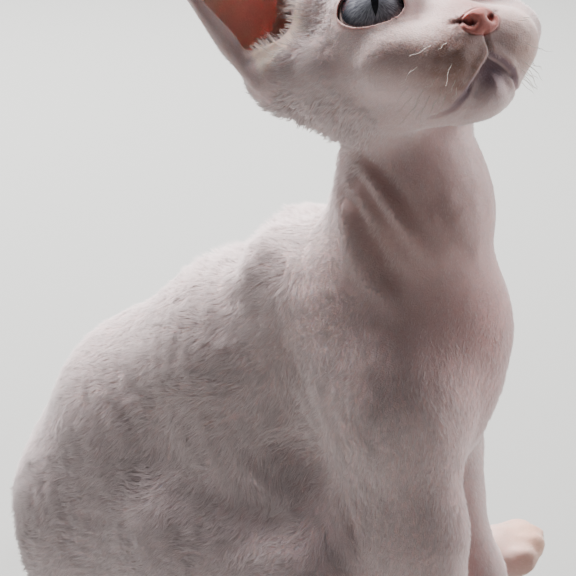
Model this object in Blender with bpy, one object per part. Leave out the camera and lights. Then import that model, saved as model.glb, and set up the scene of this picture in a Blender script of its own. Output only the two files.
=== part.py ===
"""Sitting Devon Rex kitten at life size, looking up and to its right.

The kitten faces +X with its left side towards +Y. Sizes are in millimetres and are brought to
metres when each node is finished. One field of blended balls and rods gives the whole animal, and
every node is a length of that one surface, so the nodes meet face to face across thin cuts.
"""
import math

import bmesh
import bpy
import numpy as np
from mathutils import Matrix, Vector

# Driving sizes
MM = 0.001
GAP = 0.3
NOSE_TIP = (75.0, -20.0, 245.0)
HEAD_TURN = math.radians(-34.0)
HEAD_LIFT = math.radians(29.5)
HEAD_ROLL = math.radians(5.5)
EYE_RADIUS = 9.8
EYE_PLACE = (-24.0, 13.9, 9.1)
EYE_AXIS = (0.80, 0.50, 0.33)
LID_THICKNESS = 1.2
BODY_TRIANGLES = 6600
HEAD_TRIANGLES = 3900
TAIL_TRIANGLES = 800
EAR_THICKNESS = 1.5
TAIL_THICK = 7.5
TAIL_THIN = 3.6
FLAT_RISE = 0.5

# Parting cuts
NECK_TOP = 197.0
NECK_BASE_POINT = (46.0, 0.0, 172.0)
NECK_BASE_NORMAL = (0.30, 0.0, 0.954)
ARM_CUT_POINT = (60.0, 0.0, 97.0)
ARM_CUT_NORMAL = (0.55, 0.0, -0.835)
HAUNCH_CUT_Y = 25.0
HAUNCH_REACH = 64.0

COAT_COLOUR = (0.72, 0.62, 0.58, 1.0)
EAR_COLOUR = (0.78, 0.50, 0.43, 1.0)
EYE_COLOUR = (0.33, 0.42, 0.52, 1.0)


def ball_points(count=90):
    """Points spread evenly over a ball of radius one."""
    steps = np.arange(count) + 0.5
    height = 1.0 - 2.0 * steps / count
    angle = math.pi * (1.0 + math.sqrt(5.0)) * steps
    ring = np.sqrt(1.0 - height**2)
    return np.stack([ring * np.cos(angle), ring * np.sin(angle), height], axis=1)


BALL_POINTS = ball_points()


class Ball:
    """An ellipsoid, with the blend that joins it to what comes before it."""

    def __init__(self, centre, radii, blend, axes=None):
        self.centre = np.array(centre, float)
        self.radii = np.array(radii, float)
        self.blend = blend
        self.axes = np.eye(3) if axes is None else axes

    def distance(self, points):
        local = (points - self.centre) @ self.axes.T / self.radii
        first = np.linalg.norm(local, axis=1)
        second = np.linalg.norm(local / self.radii, axis=1) + 1e-9
        return first * (first - 1.0) / second

    def add_to(self, bm):
        turn = Matrix(self.axes.T.tolist()).to_4x4()
        place = Matrix.Translation(self.centre) @ turn @ Matrix.Diagonal((*self.radii, 1.0))
        bmesh.ops.create_icosphere(bm, subdivisions=3, radius=1.0, matrix=place)


class Rod:
    """A round rod from one radius to another, thinner sideways by the flat factor."""

    def __init__(self, start, end, start_radius, end_radius, blend, flat=1.0, side=(0.0, 1.0, 0.0)):
        self.start = np.array(start, float)
        self.end = np.array(end, float)
        self.start_radius = start_radius
        self.end_radius = end_radius
        self.blend = blend
        self.flat = flat
        self.side = np.array(side, float)

    def distance(self, points):
        axis = self.end - self.start
        share = np.clip((points - self.start) @ axis / (axis @ axis), 0.0, 1.0)
        offset = points - self.start - share[:, None] * axis
        sideways = offset @ self.side
        offset = offset + (sideways * (1.0 / self.flat - 1.0))[:, None] * self.side
        radius = self.start_radius + share * (self.end_radius - self.start_radius)
        return np.linalg.norm(offset, axis=1) - radius

    def add_to(self, bm):
        verts = []
        for radius, place in ((self.start_radius, self.start), (self.end_radius, self.end)):
            for spot in BALL_POINTS * radius:
                spot = spot + (spot @ self.side) * (self.flat - 1.0) * self.side
                verts.append(bm.verts.new(Vector(spot + place)))
        made = bmesh.ops.convex_hull(bm, input=verts)
        loose = [item for item in made["geom_interior"] if isinstance(item, bmesh.types.BMVert)]
        bmesh.ops.delete(bm, geom=loose, context="VERTS")


def head_axes():
    """Forward, left and up of the head, as rows."""
    forward = np.array(
        [
            math.cos(HEAD_TURN) * math.cos(HEAD_LIFT),
            math.sin(HEAD_TURN) * math.cos(HEAD_LIFT),
            math.sin(HEAD_LIFT),
        ]
    )
    level_left = np.array([-math.sin(HEAD_TURN), math.cos(HEAD_TURN), 0.0])
    level_up = np.cross(forward, level_left)
    left = level_left * math.cos(HEAD_ROLL) + level_up * math.sin(HEAD_ROLL)
    return np.stack([forward, left, np.cross(forward, left)])


HEAD = head_axes()


def on_head(place):
    """World place of a point given forward, left and up of the nose tip."""
    return np.array(NOSE_TIP) + np.array(place, float) @ HEAD


def head_ball(place, radii, blend):
    return Ball(on_head(place), radii, blend, HEAD)


def head_rod(start, end, start_radius, end_radius, blend, flat=1.0):
    return Rod(on_head(start), on_head(end), start_radius, end_radius, blend, flat, HEAD[1])


def both_sides(maker, *places, **sizes):
    """The same head shape on the left and on the right."""
    made = []
    for side in (1.0, -1.0):
        turned = [(f, side * s, u) for f, s, u in places]
        made.append(maker(*turned, **sizes))
    return made


def head_shapes():
    """Skull, cheeks, muzzle, brow, lids and chin."""
    shapes = [
        head_ball((-47, 0, 7), (28, 26, 21), 5),
        head_ball((-30, 0, 12), (12, 14, 10), 6),
    ]
    shapes.append(head_ball((-40, -18, 2), (18, 15, 14), 8))
    shapes.append(head_ball((-40, 18, 2), (18, 15, 14), 8))
    shapes.append(head_ball((-50, -27.4, 7.5), (12, 11, 10), 6))
    shapes.append(head_ball((-49, 25, 6.5), (12.5, 11, 10), 6))
    shapes.append(head_ball((-43, -21, -2.5), (12, 10, 8.5), 6))
    shapes.append(head_ball((-43, 20, -2.5), (12, 9.5, 8.5), 5))
    shapes += both_sides(
        head_rod, (-42, 14, -6.5), (-16, 6, -14), start_radius=10.0, end_radius=7.0, blend=8
    )
    shapes.append(head_ball((-14, 0, -5), (12.5, 13, 11), 7))
    shapes.append(head_ball((-19, -15.5, -2), (11, 9.6, 8.8), 5))
    shapes.append(head_ball((-20, 17.5, -2.2), (10.8, 10, 8.7), 5))
    shapes.append(head_rod((-5, 0, 0), (-25, 0, 9.5), 4.3, 6.8, 4))
    shapes.append(head_ball((-10.5, -8.3, -6.5), (9.5, 8.7, 8.3), 6))
    shapes.append(head_ball((-10.0, 9.2, -5.8), (9.5, 9.6, 8.6), 6))
    shapes.append(head_ball((-11, 0, -15.5), (8, 8.5, 6.2), 5))
    shapes.append(head_ball((-2.5, 0, -0.3), (3.1, 4.9, 3.4), 1.6))
    shapes += both_sides(
        head_rod, (-20, 8, 15.5), (-37, 21, 18), start_radius=4.2, end_radius=5.5, blend=6
    )
    bulge = EYE_RADIUS + GAP + LID_THICKNESS
    shapes += both_sides(head_ball, EYE_PLACE, radii=(bulge, bulge, bulge), blend=3.5)
    return shapes


def ear_root_shapes():
    """The raised roots that the ears grow from."""
    return both_sides(
        head_rod, (-49, 17, 13), (-51, 30, 6), start_radius=12.5, end_radius=8.5, blend=6
    )


def head_hollows():
    """The bowl of each ear, sunk in the side of the head."""
    return both_sides(head_ball, (-49, 31.5, 16), radii=(8, 7.5, 10), blend=2.5)


def trunk_shapes():
    """Neck, chest, loin and rump along the sloping back."""
    return [
        Rod((40, 0, 139), (6, 0, 121), 35, 39.5, 10, flat=0.80),
        Rod((6, 0, 121), (-32, 0, 91), 39.5, 39, 12, flat=0.82),
        Rod((-32, 0, 91), (-50.5, 0, 63), 39, 36, 12, flat=0.92),
        Rod((-50.5, 0, 63), (-53, 0, 33), 36, 35, 10, flat=0.98),
        Rod((26, 0, 100), (-22, 0, 62), 24, 32, 14, flat=0.95),
        Rod((57.5, 0, 153), (50, 0, 116), 21.5, 18.5, 14),
        Rod((39, 0, 152), (50.5, 0, 186), 26, 19.6, 16),
        Rod((50.5, 0, 186), on_head((-48, 0, -8)), 19.4, 16.5, 10),
    ]


# Joints of each foreleg from the shoulder blade to the paw
RIGHT_FORELEG = {
    "blade": (16.0, -10.0, 164.0),
    "shoulder": (56.0, -22.0, 138.0),
    "arm": (62.0, -24.0, 100.0),
    "elbow": (63.5, -22.0, 84.0),
    "forearm": (65.0, -19.5, 56.0),
    "wrist": (66.0, -18.0, 24.0),
    "paw": (68.0, -18.0, 0.0),
}
LEFT_FORELEG = {
    "blade": (12.0, 10.0, 164.0),
    "shoulder": (46.0, 21.0, 138.0),
    "arm": (46.0, 23.0, 103.0),
    "elbow": (50.0, 22.0, 88.0),
    "forearm": (66.0, 20.5, 58.0),
    "wrist": (75.0, 19.0, 24.0),
    "paw": (79.0, 19.0, 0.0),
}


def foreleg_shapes(joints):
    """Shoulder blade, upper arm, forearm and paw."""
    above_paw = np.array(joints["paw"]) + (1.0, 0.0, 10.0)
    shapes = [
        Rod(joints["blade"], joints["shoulder"], 11, 17, 12),
        Rod(joints["shoulder"], joints["arm"], 18, 17, 12, flat=0.85),
        Rod(joints["arm"], joints["elbow"], 17.5, 15.5, 9, flat=0.72),
        Rod(joints["elbow"], joints["forearm"], 14.5, 10.0, 8, flat=0.85),
        Rod(joints["forearm"], joints["wrist"], 10.0, 8.2, 6, flat=0.95),
        Rod(joints["wrist"], above_paw, 8.2, 8.6, 5),
    ]
    heading = (1.0, 0.06 * joints["paw"][1] / abs(joints["paw"][1]), 0.0)
    return shapes + paw_shapes(joints["paw"], heading, 0.0)


def paw_shapes(place, heading, lift, size=1.0):
    """Palm and four toes, pointing along the heading and tipped up by the lift angle."""
    forward = np.array(heading, float) / np.linalg.norm(heading)
    left = np.cross((0.0, 0.0, 1.0), forward)
    left /= np.linalg.norm(left)
    level_up = np.cross(forward, left)
    up = level_up * math.cos(lift) - forward * math.sin(lift)
    forward = forward * math.cos(lift) + level_up * math.sin(lift)
    axes = np.stack([forward, left, up])
    place = np.array(place, float)
    shapes = [Ball(place + np.array([2.0, 0.0, 6.6]) * size @ axes, np.array([10.5, 9.4, 7.0]) * size, 4, axes)]
    for step in (-1.5, -0.5, 0.5, 1.5):
        outer = abs(step) - 0.5
        spot = np.array([12.2 - 3.2 * outer, 5.0 * step, 5.0]) * size
        shapes.append(Ball(place + spot @ axes, np.array([6.6, 3.1, 5.4]) * size, 1.6, axes))
    return shapes


RIGHT_HIP = (-46.0, -22.0, 57.0)
RIGHT_KNEE = (37.0, -38.0, 82.0)
RIGHT_HOCK = (-24.0, -38.0, 12.0)
RIGHT_TOES = (28.0, -39.0, 0.0)
LEFT_HIP = (-52.0, 23.0, 57.0)
LEFT_KNEE = (14.0, 50.0, 80.0)
LEFT_HOCK = (22.0, 61.0, 8.6)
LEFT_TOES = (53.5, 77.5, 18.0)
LEFT_PAW_SIZE = 1.18


def right_hind_shapes():
    """Folded hind leg: thigh, shank lying on the long foot."""
    return [
        Rod(RIGHT_HIP, (-4.0, -31.0, 72.0), 31, 26, 14, flat=0.50),
        Rod((-4.0, -31.0, 72.0), RIGHT_KNEE, 26, 13.5, 10, flat=0.60),
        Rod(RIGHT_KNEE, (4.0, -38.0, 42.0), 13.5, 13.0, 8, flat=0.72),
        Rod((4.0, -38.0, 42.0), RIGHT_HOCK, 13.0, 8.5, 8, flat=0.8),
    ]


def right_foot_shapes():
    """Hock, long foot and toes flat on the floor."""
    shapes = [
        Rod(RIGHT_HOCK, (16.0, -38.5, 7.6), 8.6, 7.8, 6),
        Rod((16.0, -38.5, 7.6), (26.0, -39.0, 7.2), 7.8, 8.4, 4),
    ]
    return shapes + paw_shapes(RIGHT_TOES, (1.0, -0.05, 0.0), 0.0)


def left_hind_shapes():
    """Hind leg let out to the side: thigh, raised knee and upright shank."""
    return [
        Rod(LEFT_HIP, (-16.0, 39.0, 70.0), 31, 25, 14, flat=0.52),
        Rod((-16.0, 39.0, 70.0), LEFT_KNEE, 25, 13.5, 10, flat=0.66),
        Rod(LEFT_KNEE, (19.0, 56.0, 42.0), 13, 12, 8, flat=0.85),
        Rod((19.0, 56.0, 42.0), LEFT_HOCK, 11.5, 8.0, 8, flat=0.9),
    ]


def left_foot_shapes():
    """Foot resting on its heel with the toes raised."""
    lift = math.radians(30.0)
    shapes = [
        Rod(LEFT_HOCK, (43.0, 71.5, 21.0), 8.9, 7.8, 6),
        Rod((43.0, 71.5, 21.0), (53.0, 77.0, 26.0), 7.8, 9.2, 4),
    ]
    return shapes + paw_shapes(LEFT_TOES, (0.89, 0.45, 0.0), lift, LEFT_PAW_SIZE)


def flank_shapes():
    """Loose skin of the flanks, from the belly down to the knees."""
    return [
        Rod((6.0, -22.0, 106.0), (42.0, -25.5, 97.0), 15.0, 12.5, 12, flat=0.9),
        Rod((0.0, 24.0, 104.0), (24.0, 33.0, 92.0), 14.0, 11.5, 12, flat=0.9),
    ]


# Places along the tail, each with its rise above lying on the floor
TAIL_ROUTE = (
    (-78.0, 6.0, 12.5),
    (-96.0, 12.0, 3.2),
    (-110.0, 30.0, 0.0),
    (-109.0, 52.0, 0.0),
    (-94.0, 69.0, 0.0),
    (-68.0, 78.0, 0.0),
    (-40.0, 80.0, 0.0),
    (-12.0, 77.0, 0.0),
)
TAIL_PRESS = 0.6
TAIL_STEPS = 21


def tail_radius(share):
    return TAIL_THICK + (TAIL_THIN - TAIL_THICK) * share**0.85


def curve_point(route, share):
    """A place by its share of the way along a smooth curve through a route."""
    spots = [np.array(spot) for spot in route]
    spots = [2 * spots[0] - spots[1]] + spots + [2 * spots[-1] - spots[-2]]
    scaled = min(share, 0.999999) * (len(route) - 1)
    index = int(scaled)
    t = scaled - index
    a, b, c, d = spots[index:index + 4]
    curve = 2 * b + (c - a) * t + (2 * a - 5 * b + 4 * c - d) * t**2 + (3 * b - a - 3 * c + d) * t**3
    return 0.5 * curve


def tail_point(share):
    """A place along the middle of the tail."""
    place = curve_point(TAIL_ROUTE, share)
    place[2] += tail_radius(share) - TAIL_PRESS
    return place


def tail_shapes():
    """The tail as a chain of short rods, thin towards the tip."""
    shapes = []
    for step in range(TAIL_STEPS):
        first = step / TAIL_STEPS
        last = (step + 1) / TAIL_STEPS
        blend = 3 if step else 9
        shapes.append(Rod(tail_point(first), tail_point(last), tail_radius(first), tail_radius(last), blend))
    return shapes


def blend_in(field, distance, blend):
    """Smooth union of a field and one more shape."""
    overlap = np.clip(blend - np.abs(field - distance), 0.0, None) / blend
    return np.minimum(field, distance) - overlap * overlap * blend * 0.25


class Animal:
    """The whole surface of the kitten, as a field that is negative inside."""

    def __init__(self):
        self.trunk = trunk_shapes() + flank_shapes()
        self.head = head_shapes() + ear_root_shapes()
        self.forelegs = {1: foreleg_shapes(LEFT_FORELEG), -1: foreleg_shapes(RIGHT_FORELEG)}
        self.right_hind = right_hind_shapes()
        self.left_hind = left_hind_shapes()
        self.right_foot = right_foot_shapes()
        self.left_foot = left_foot_shapes()
        self.tail = tail_shapes()
        self.hollows = head_hollows()

    def body_shapes(self):
        return (
            self.trunk + self.forelegs[1] + self.forelegs[-1] + self.right_hind + self.left_hind
            + self.right_foot + self.left_foot + self.tail
        )

    def shapes(self):
        return self.body_shapes() + self.head

    def field(self, points):
        value = np.full(len(points), 1e3)
        for shape in self.shapes():
            value = blend_in(value, shape.distance(points), shape.blend)
        for hollow in self.hollows:
            value = -blend_in(-value, hollow.distance(points), hollow.blend)
        return -blend_in(-value, points[:, 2], 0.6)

    def slope(self, points, step=0.05):
        here = self.field(points)
        parts = []
        for axis in range(3):
            moved = points.copy()
            moved[:, axis] += step
            parts.append((self.field(moved) - here) / step)
        return here, np.stack(parts, axis=1)


def object_from(bm, name):
    mesh = bpy.data.meshes.new(name)
    bm.to_mesh(mesh)
    bm.free()
    made = bpy.data.objects.new(name, mesh)
    bpy.context.scene.collection.objects.link(made)
    return made


def apply_modifiers(item):
    """Replace an object's mesh with the one its modifiers give."""
    graph = bpy.context.evaluated_depsgraph_get()
    mesh = bpy.data.meshes.new_from_object(item.evaluated_get(graph))
    item.modifiers.clear()
    item.data = mesh


def drop(item):
    bpy.data.objects.remove(item, do_unlink=True)


def skin_over(animal, shapes, name, voxel, frozen=None, rounds=3):
    """A closed mesh over some of the shapes, settled on the whole animal's surface."""
    bm = bmesh.new()
    for shape in shapes:
        shape.add_to(bm)
    item = object_from(bm, name)
    even_mesh(item, voxel)
    settle_mesh(animal, item, voxel, frozen, rounds)
    even_mesh(item, voxel)
    settle_mesh(animal, item, voxel, frozen, 1)
    return item


def even_mesh(item, voxel):
    """Give an object one closed mesh of even faces."""
    remesh = item.modifiers.new("Remesh", "REMESH")
    remesh.mode = "VOXEL"
    remesh.voxel_size = voxel
    apply_modifiers(item)


def settle_mesh(animal, item, voxel, frozen, rounds):
    """Bring an object's points onto the animal's surface, evened out between the rounds."""
    bm = bmesh.new()
    bm.from_mesh(item.data)
    bmesh.ops.triangulate(bm, faces=bm.faces)
    bm.verts.ensure_lookup_table()
    points = np.array([vert.co for vert in bm.verts])
    free = np.ones(len(points), bool) if frozen is None else ~frozen(points)
    for turn in range(rounds):
        for _ in range(4):
            settle(animal, points, free, 0.5 * voxel)
        if turn < rounds - 1:
            points = relax(bm, points, free)
    for vert, spot in zip(bm.verts, points):
        vert.co = spot
    bm.to_mesh(item.data)
    bm.free()


def settle(animal, points, free, reach):
    """Move the free points one Newton step towards the surface."""
    value, slope = animal.slope(points[free])
    steepness = np.maximum((slope**2).sum(axis=1), 0.04)
    move = slope * (value / steepness)[:, None]
    length = np.maximum(np.linalg.norm(move, axis=1), 1e-9)
    move *= np.minimum(1.0, reach / length)[:, None]
    points[free] -= move


def relax(bm, points, free):
    """Even out the spacing of the free points."""
    first = np.array([edge.verts[0].index for edge in bm.edges])
    last = np.array([edge.verts[1].index for edge in bm.edges])
    total = np.zeros_like(points)
    count = np.zeros(len(points))
    np.add.at(total, first, points[last])
    np.add.at(total, last, points[first])
    np.add.at(count, first, 1)
    np.add.at(count, last, 1)
    mean = total / np.maximum(count, 1)[:, None]
    share = np.where(free, 0.6, 0.0)[:, None]
    return points * (1 - share) + mean * share


def thin_out(item, triangles):
    """Bring a mesh down to about this many triangles."""
    count = sum(len(face.vertices) - 2 for face in item.data.polygons)
    if count <= triangles:
        return
    decimate = item.modifiers.new("Decimate", "DECIMATE")
    decimate.ratio = triangles / count
    decimate.use_collapse_triangulate = True
    apply_modifiers(item)


def volume_of(mesh):
    """Volume of a mesh, or zero where it is empty or open."""
    bm = bmesh.new()
    bm.from_mesh(mesh)
    closed = bool(bm.faces) and all(len(edge.link_faces) == 2 for edge in bm.edges)
    volume = bm.calc_volume(signed=True) if closed else 0.0
    bm.free()
    return volume


def boolean(item, cutter, operation):
    """Cut or trim by a closed block, with the other solver where the exact one goes wrong.

    The two halves of a cut have to add up to the whole, or the solver has gone wrong.
    """
    before = item.data
    whole = volume_of(before)
    for solver in ("EXACT", "MANIFOLD"):
        halves = {}
        for kind in ("INTERSECT", "DIFFERENCE"):
            item.data = before
            change = item.modifiers.new("Cut", "BOOLEAN")
            change.operation = kind
            change.solver = solver
            change.object = cutter
            apply_modifiers(item)
            halves[kind] = item.data
        inside, outside = volume_of(halves["INTERSECT"]), volume_of(halves["DIFFERENCE"])
        item.data = halves[operation]
        if min(inside, outside) > 0.0 and abs(inside + outside - whole) < CUT_ERROR * whole:
            break
    drop(cutter)


def cut_plane(item, point, normal, shift=0.0):
    """Keep what lies behind a plane and close the cut. The shift moves the plane back."""
    normal = Vector(normal).normalized()
    place = Vector(point) - normal * shift
    bm = bmesh.new()
    bm.from_mesh(item.data)
    geometry = list(bm.verts) + list(bm.edges) + list(bm.faces)
    cut = bmesh.ops.bisect_plane(
        bm, geom=geometry, plane_co=place, plane_no=normal, clear_outer=True, dist=1e-4
    )
    edges = [part for part in cut["geom_cut"] if isinstance(part, bmesh.types.BMEdge)]
    bmesh.ops.holes_fill(bm, edges=edges, sides=0)
    bmesh.ops.triangulate(bm, faces=[face for face in bm.faces if len(face.verts) > 3])
    bm.to_mesh(item.data)
    bm.free()


def prism(name, outline, axis, low, high):
    """A closed prism over a flat outline. The axis is the world axis that it runs along."""
    bm = bmesh.new()
    across = [index for index in range(3) if index != axis]
    verts = []
    for spot in outline:
        place = [0.0, 0.0, 0.0]
        place[across[0]], place[across[1]] = spot
        place[axis] = low
        verts.append(bm.verts.new(place))
    face = bm.faces.new(verts)
    made = bmesh.ops.extrude_face_region(bm, geom=[face])["geom"]
    reach = Vector((0.0, 0.0, 0.0))
    reach[axis] = high - low
    bmesh.ops.translate(bm, vec=reach, verts=[part for part in made if isinstance(part, bmesh.types.BMVert)])
    bmesh.ops.recalc_face_normals(bm, faces=bm.faces)
    return object_from(bm, name)


def box(name, low, high):
    """A closed box between two corners."""
    outline = [(low[0], low[1]), (high[0], low[1]), (high[0], high[1]), (low[0], high[1])]
    return prism(name, outline, 2, low[2], high[2])


def block_past(name, point, normal, width, depth):
    """A square block whose near face lies at a point and whose body lies along the normal."""
    normal = Vector(normal).normalized()
    turn = normal.to_track_quat("Z", "Y").to_matrix().to_4x4()
    size = Matrix.Diagonal((width, width, depth, 1.0))
    bm = bmesh.new()
    spot = Matrix.Translation(Vector(point) + normal * (depth / 2)) @ turn @ size
    bmesh.ops.create_cube(bm, size=1.0, matrix=spot)
    return object_from(bm, name)


def arm_block(shift):
    """A block over all that lies below the armpit cut."""
    slope = -ARM_CUT_NORMAL[0] / ARM_CUT_NORMAL[2]
    back, front, low = 22.0, 140.0, -30.0
    top = [
        (reach, ARM_CUT_POINT[2] + (reach - ARM_CUT_POINT[0]) * slope + shift) for reach in (front, back)
    ]
    return prism("arm_block", [(back, low), (front, low)] + top, 1, -90.0, 90.0)


def keep_largest(bm):
    """Delete every closed surface but the largest one."""
    bm.verts.ensure_lookup_table()
    seen = set()
    groups = []
    for seed in bm.verts:
        if seed.index in seen:
            continue
        stack = [seed]
        group = []
        seen.add(seed.index)
        while stack:
            vert = stack.pop()
            group.append(vert)
            for edge in vert.link_edges:
                other = edge.other_vert(vert)
                if other.index not in seen:
                    seen.add(other.index)
                    stack.append(other)
        groups.append(group)
    groups.sort(key=len, reverse=True)
    for group in groups[1:]:
        bmesh.ops.delete(bm, geom=group, context="VERTS")


def finish(item, colour, roughness):
    """Clean a node, set its feet on the floor, give it its finish and bring it to metres."""
    bm = bmesh.new()
    bm.from_mesh(item.data)
    bm.verts.index_update()
    keep_largest(bm)
    for vert in bm.verts:
        if vert.co.z < FLAT_RISE:
            vert.co.z = 0.0
    bmesh.ops.triangulate(bm, faces=bm.faces)
    bmesh.ops.dissolve_degenerate(bm, edges=bm.edges, dist=0.005)
    bmesh.ops.triangulate(bm, faces=[face for face in bm.faces if len(face.verts) > 3])
    bmesh.ops.recalc_face_normals(bm, faces=bm.faces)
    bm.to_mesh(item.data)
    bm.free()
    item.data.transform(Matrix.Scale(MM, 4))
    item.data.shade_smooth()
    item.data.materials.clear()
    item.data.materials.append(finish_named(item.name, colour, roughness))
    return item


def finish_named(name, colour, roughness):
    material = bpy.data.materials.new(name + "_finish")
    material.use_nodes = True
    shader = material.node_tree.nodes["Principled BSDF"]
    shader.inputs["Base Color"].default_value = colour
    shader.inputs["Roughness"].default_value = roughness
    shader.inputs["Metallic"].default_value = 0.0
    return material


# Parting arches of the haunches, seen from the side
RIGHT_HAUNCH = {"centre": (-12.0, 54.0), "half_length": 72.0, "half_height": 56.0}
LEFT_HAUNCH = {"centre": (-22.0, 56.0), "half_length": 62.0, "half_height": 52.0}
# The upright plane where the right knee meets the foreleg
KNEE_CUT_POINT = (51.5, -30.5, 0.0)
KNEE_CUT_NORMAL = (0.83, 0.555, 0.0)
ARCH_POWER = 2.6
CUT_ERROR = 0.002
RIGHT_FOOT_TOP = 17.5
RIGHT_FOOT_BACK = -38.0
RIGHT_FOOT_FRONT = 52.0
LEFT_FOOT_INNER = 44.0
LEFT_FOOT_CUT = ((17.0, 58.0, 24.0), (0.60, 0.35, -0.72))
TAIL_CUTS = (0.16, 0.44, 0.72)


def arch(outline, inset, steps=22):
    """Outline of an arch that stands on the floor, drawn in by the inset."""
    length = outline["half_length"] - inset
    height = outline["half_height"] - inset
    points = []
    for step in range(steps + 1):
        angle = math.pi * step / steps
        across = math.copysign(abs(math.cos(angle)) ** (2 / ARCH_POWER), math.cos(angle))
        rise = math.sin(angle) ** (2 / ARCH_POWER) if 0 < step < steps else 0.0
        points.append((outline["centre"][0] + length * across, outline["centre"][1] + height * rise))
    floor = -10.0
    return points + [(outline["centre"][0] - length, floor), (outline["centre"][0] + length, floor)]


def haunch_prism(name, side, outline, inset):
    near = HAUNCH_CUT_Y + inset
    low, high = (near, HAUNCH_REACH) if side > 0 else (-HAUNCH_REACH, -near)
    block = prism(name, arch(outline, inset), 1, low, high)
    if side < 0:
        cut_plane(block, KNEE_CUT_POINT, KNEE_CUT_NORMAL, shift=inset)
    return block


def right_foot_box(grow):
    low = (RIGHT_FOOT_BACK - grow, -HAUNCH_REACH, -20.0)
    high = (RIGHT_FOOT_FRONT, -HAUNCH_CUT_Y + grow, RIGHT_FOOT_TOP + grow)
    return box("foot_block", low, high)


def tail_cut(index):
    """Point and direction of the cut at one of the tail's partings."""
    share = TAIL_CUTS[index]
    here = tail_point(share)
    ahead = tail_point(share + 0.01)
    return here, ahead - here


def build_body(animal):
    """One mesh of the body up to the throat, which the nodes are cut from."""
    def past_throat(points):
        return points[:, 2] > NECK_TOP + 5

    body = skin_over(animal, animal.body_shapes(), "body", 2.1, past_throat)
    thin_out(body, BODY_TRIANGLES)
    return body


def copy_of(body, name):
    length = body.copy()
    length.data = body.data.copy()
    length.name = name
    bpy.context.scene.collection.objects.link(length)
    return length


def build_torso(body):
    """The torso, without the legs below the armpits and the haunches."""
    torso = copy_of(body, "torso")
    cut_plane(torso, NECK_BASE_POINT, NECK_BASE_NORMAL, shift=GAP / 2)
    boolean(torso, arm_block(GAP / 2), "DIFFERENCE")
    boolean(torso, haunch_prism("right_haunch", -1, RIGHT_HAUNCH, 0.0), "DIFFERENCE")
    boolean(torso, haunch_prism("left_haunch", 1, LEFT_HAUNCH, 0.0), "DIFFERENCE")
    here, along = tail_cut(0)
    back = here - along / np.linalg.norm(along) * GAP / 2
    boolean(torso, block_past("tail_block", back, along, 56.0, 60.0), "DIFFERENCE")
    return finish(torso, COAT_COLOUR, 0.8)


def build_neck(body):
    neck = copy_of(body, "neck")
    cut_plane(neck, (0, 0, NECK_TOP), (0, 0, 1), shift=GAP / 2)
    away = tuple(-part for part in NECK_BASE_NORMAL)
    cut_plane(neck, NECK_BASE_POINT, away, shift=GAP / 2)
    return finish(neck, COAT_COLOUR, 0.8)


def build_foreleg(body, side, name):
    """One foreleg with its paw, from the armpit down."""
    leg = copy_of(body, name)
    away = tuple(-part for part in ARM_CUT_NORMAL)
    cut_plane(leg, ARM_CUT_POINT, away, shift=GAP / 2)
    cut_plane(leg, (30.0, 0.0, 0.0), (-1.0, 0.0, 0.0))
    cut_plane(leg, (0.0, 0.0, 0.0), (0.0, -side, 0.0))
    haunch = LEFT_HAUNCH if side > 0 else RIGHT_HAUNCH
    boolean(leg, haunch_prism("haunch", side, haunch, -GAP), "DIFFERENCE")
    return finish(leg, COAT_COLOUR, 0.8)


def build_right_hind(body):
    """The folded right leg and its foot."""
    leg = copy_of(body, "hind_leg_right")
    boolean(leg, haunch_prism("haunch", -1, RIGHT_HAUNCH, GAP), "INTERSECT")
    boolean(leg, right_foot_box(GAP), "DIFFERENCE")
    foot = copy_of(body, "hind_paw_right")
    boolean(foot, haunch_prism("haunch", -1, RIGHT_HAUNCH, GAP), "INTERSECT")
    boolean(foot, right_foot_box(0.0), "INTERSECT")
    return [finish(leg, COAT_COLOUR, 0.8), finish(foot, COAT_COLOUR, 0.8)]


def build_left_hind(body):
    """The left leg that is let out to the side, and its foot."""
    point, normal = LEFT_FOOT_CUT
    leg = copy_of(body, "hind_leg_left")
    boolean(leg, haunch_prism("haunch", 1, LEFT_HAUNCH, GAP), "INTERSECT")
    cut_plane(leg, point, normal, shift=GAP / 2)
    foot = copy_of(body, "hind_paw_left")
    cut_plane(foot, (0.0, LEFT_FOOT_INNER, 0.0), (0.0, -1.0, 0.0))
    cut_plane(foot, point, tuple(-part for part in normal), shift=GAP / 2)
    return [finish(leg, COAT_COLOUR, 0.8), finish(foot, COAT_COLOUR, 0.8)]


def build_tail(animal):
    """The tail in three lengths laid on the floor."""
    whole = skin_over(animal, animal.tail, "tail_mesh", 1.7)
    thin_out(whole, TAIL_TRIANGLES)
    made = []
    for index, name in enumerate(("tail_root", "tail_middle", "tail_tip")):
        length = copy_of(whole, name)
        here, along = tail_cut(index)
        cut_plane(length, here, -along, shift=GAP / 2)
        if index < 2:
            here, along = tail_cut(index + 1)
            cut_plane(length, here, along, shift=GAP / 2)
        made.append(finish(length, COAT_COLOUR, 0.8))
    drop(whole)
    return made


def eye_axes(side):
    """Outward, across and up directions of an eye, as rows in the world."""
    out = np.array([EYE_AXIS[0], side * EYE_AXIS[1], EYE_AXIS[2]]) @ HEAD
    out /= np.linalg.norm(out)
    corner = np.array([-11.5, side * 13.0, 2.6]) @ HEAD
    corner -= out * (corner @ out)
    corner /= np.linalg.norm(corner)
    up = np.cross(out, corner) * side
    return np.stack([out, corner, up])


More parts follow.
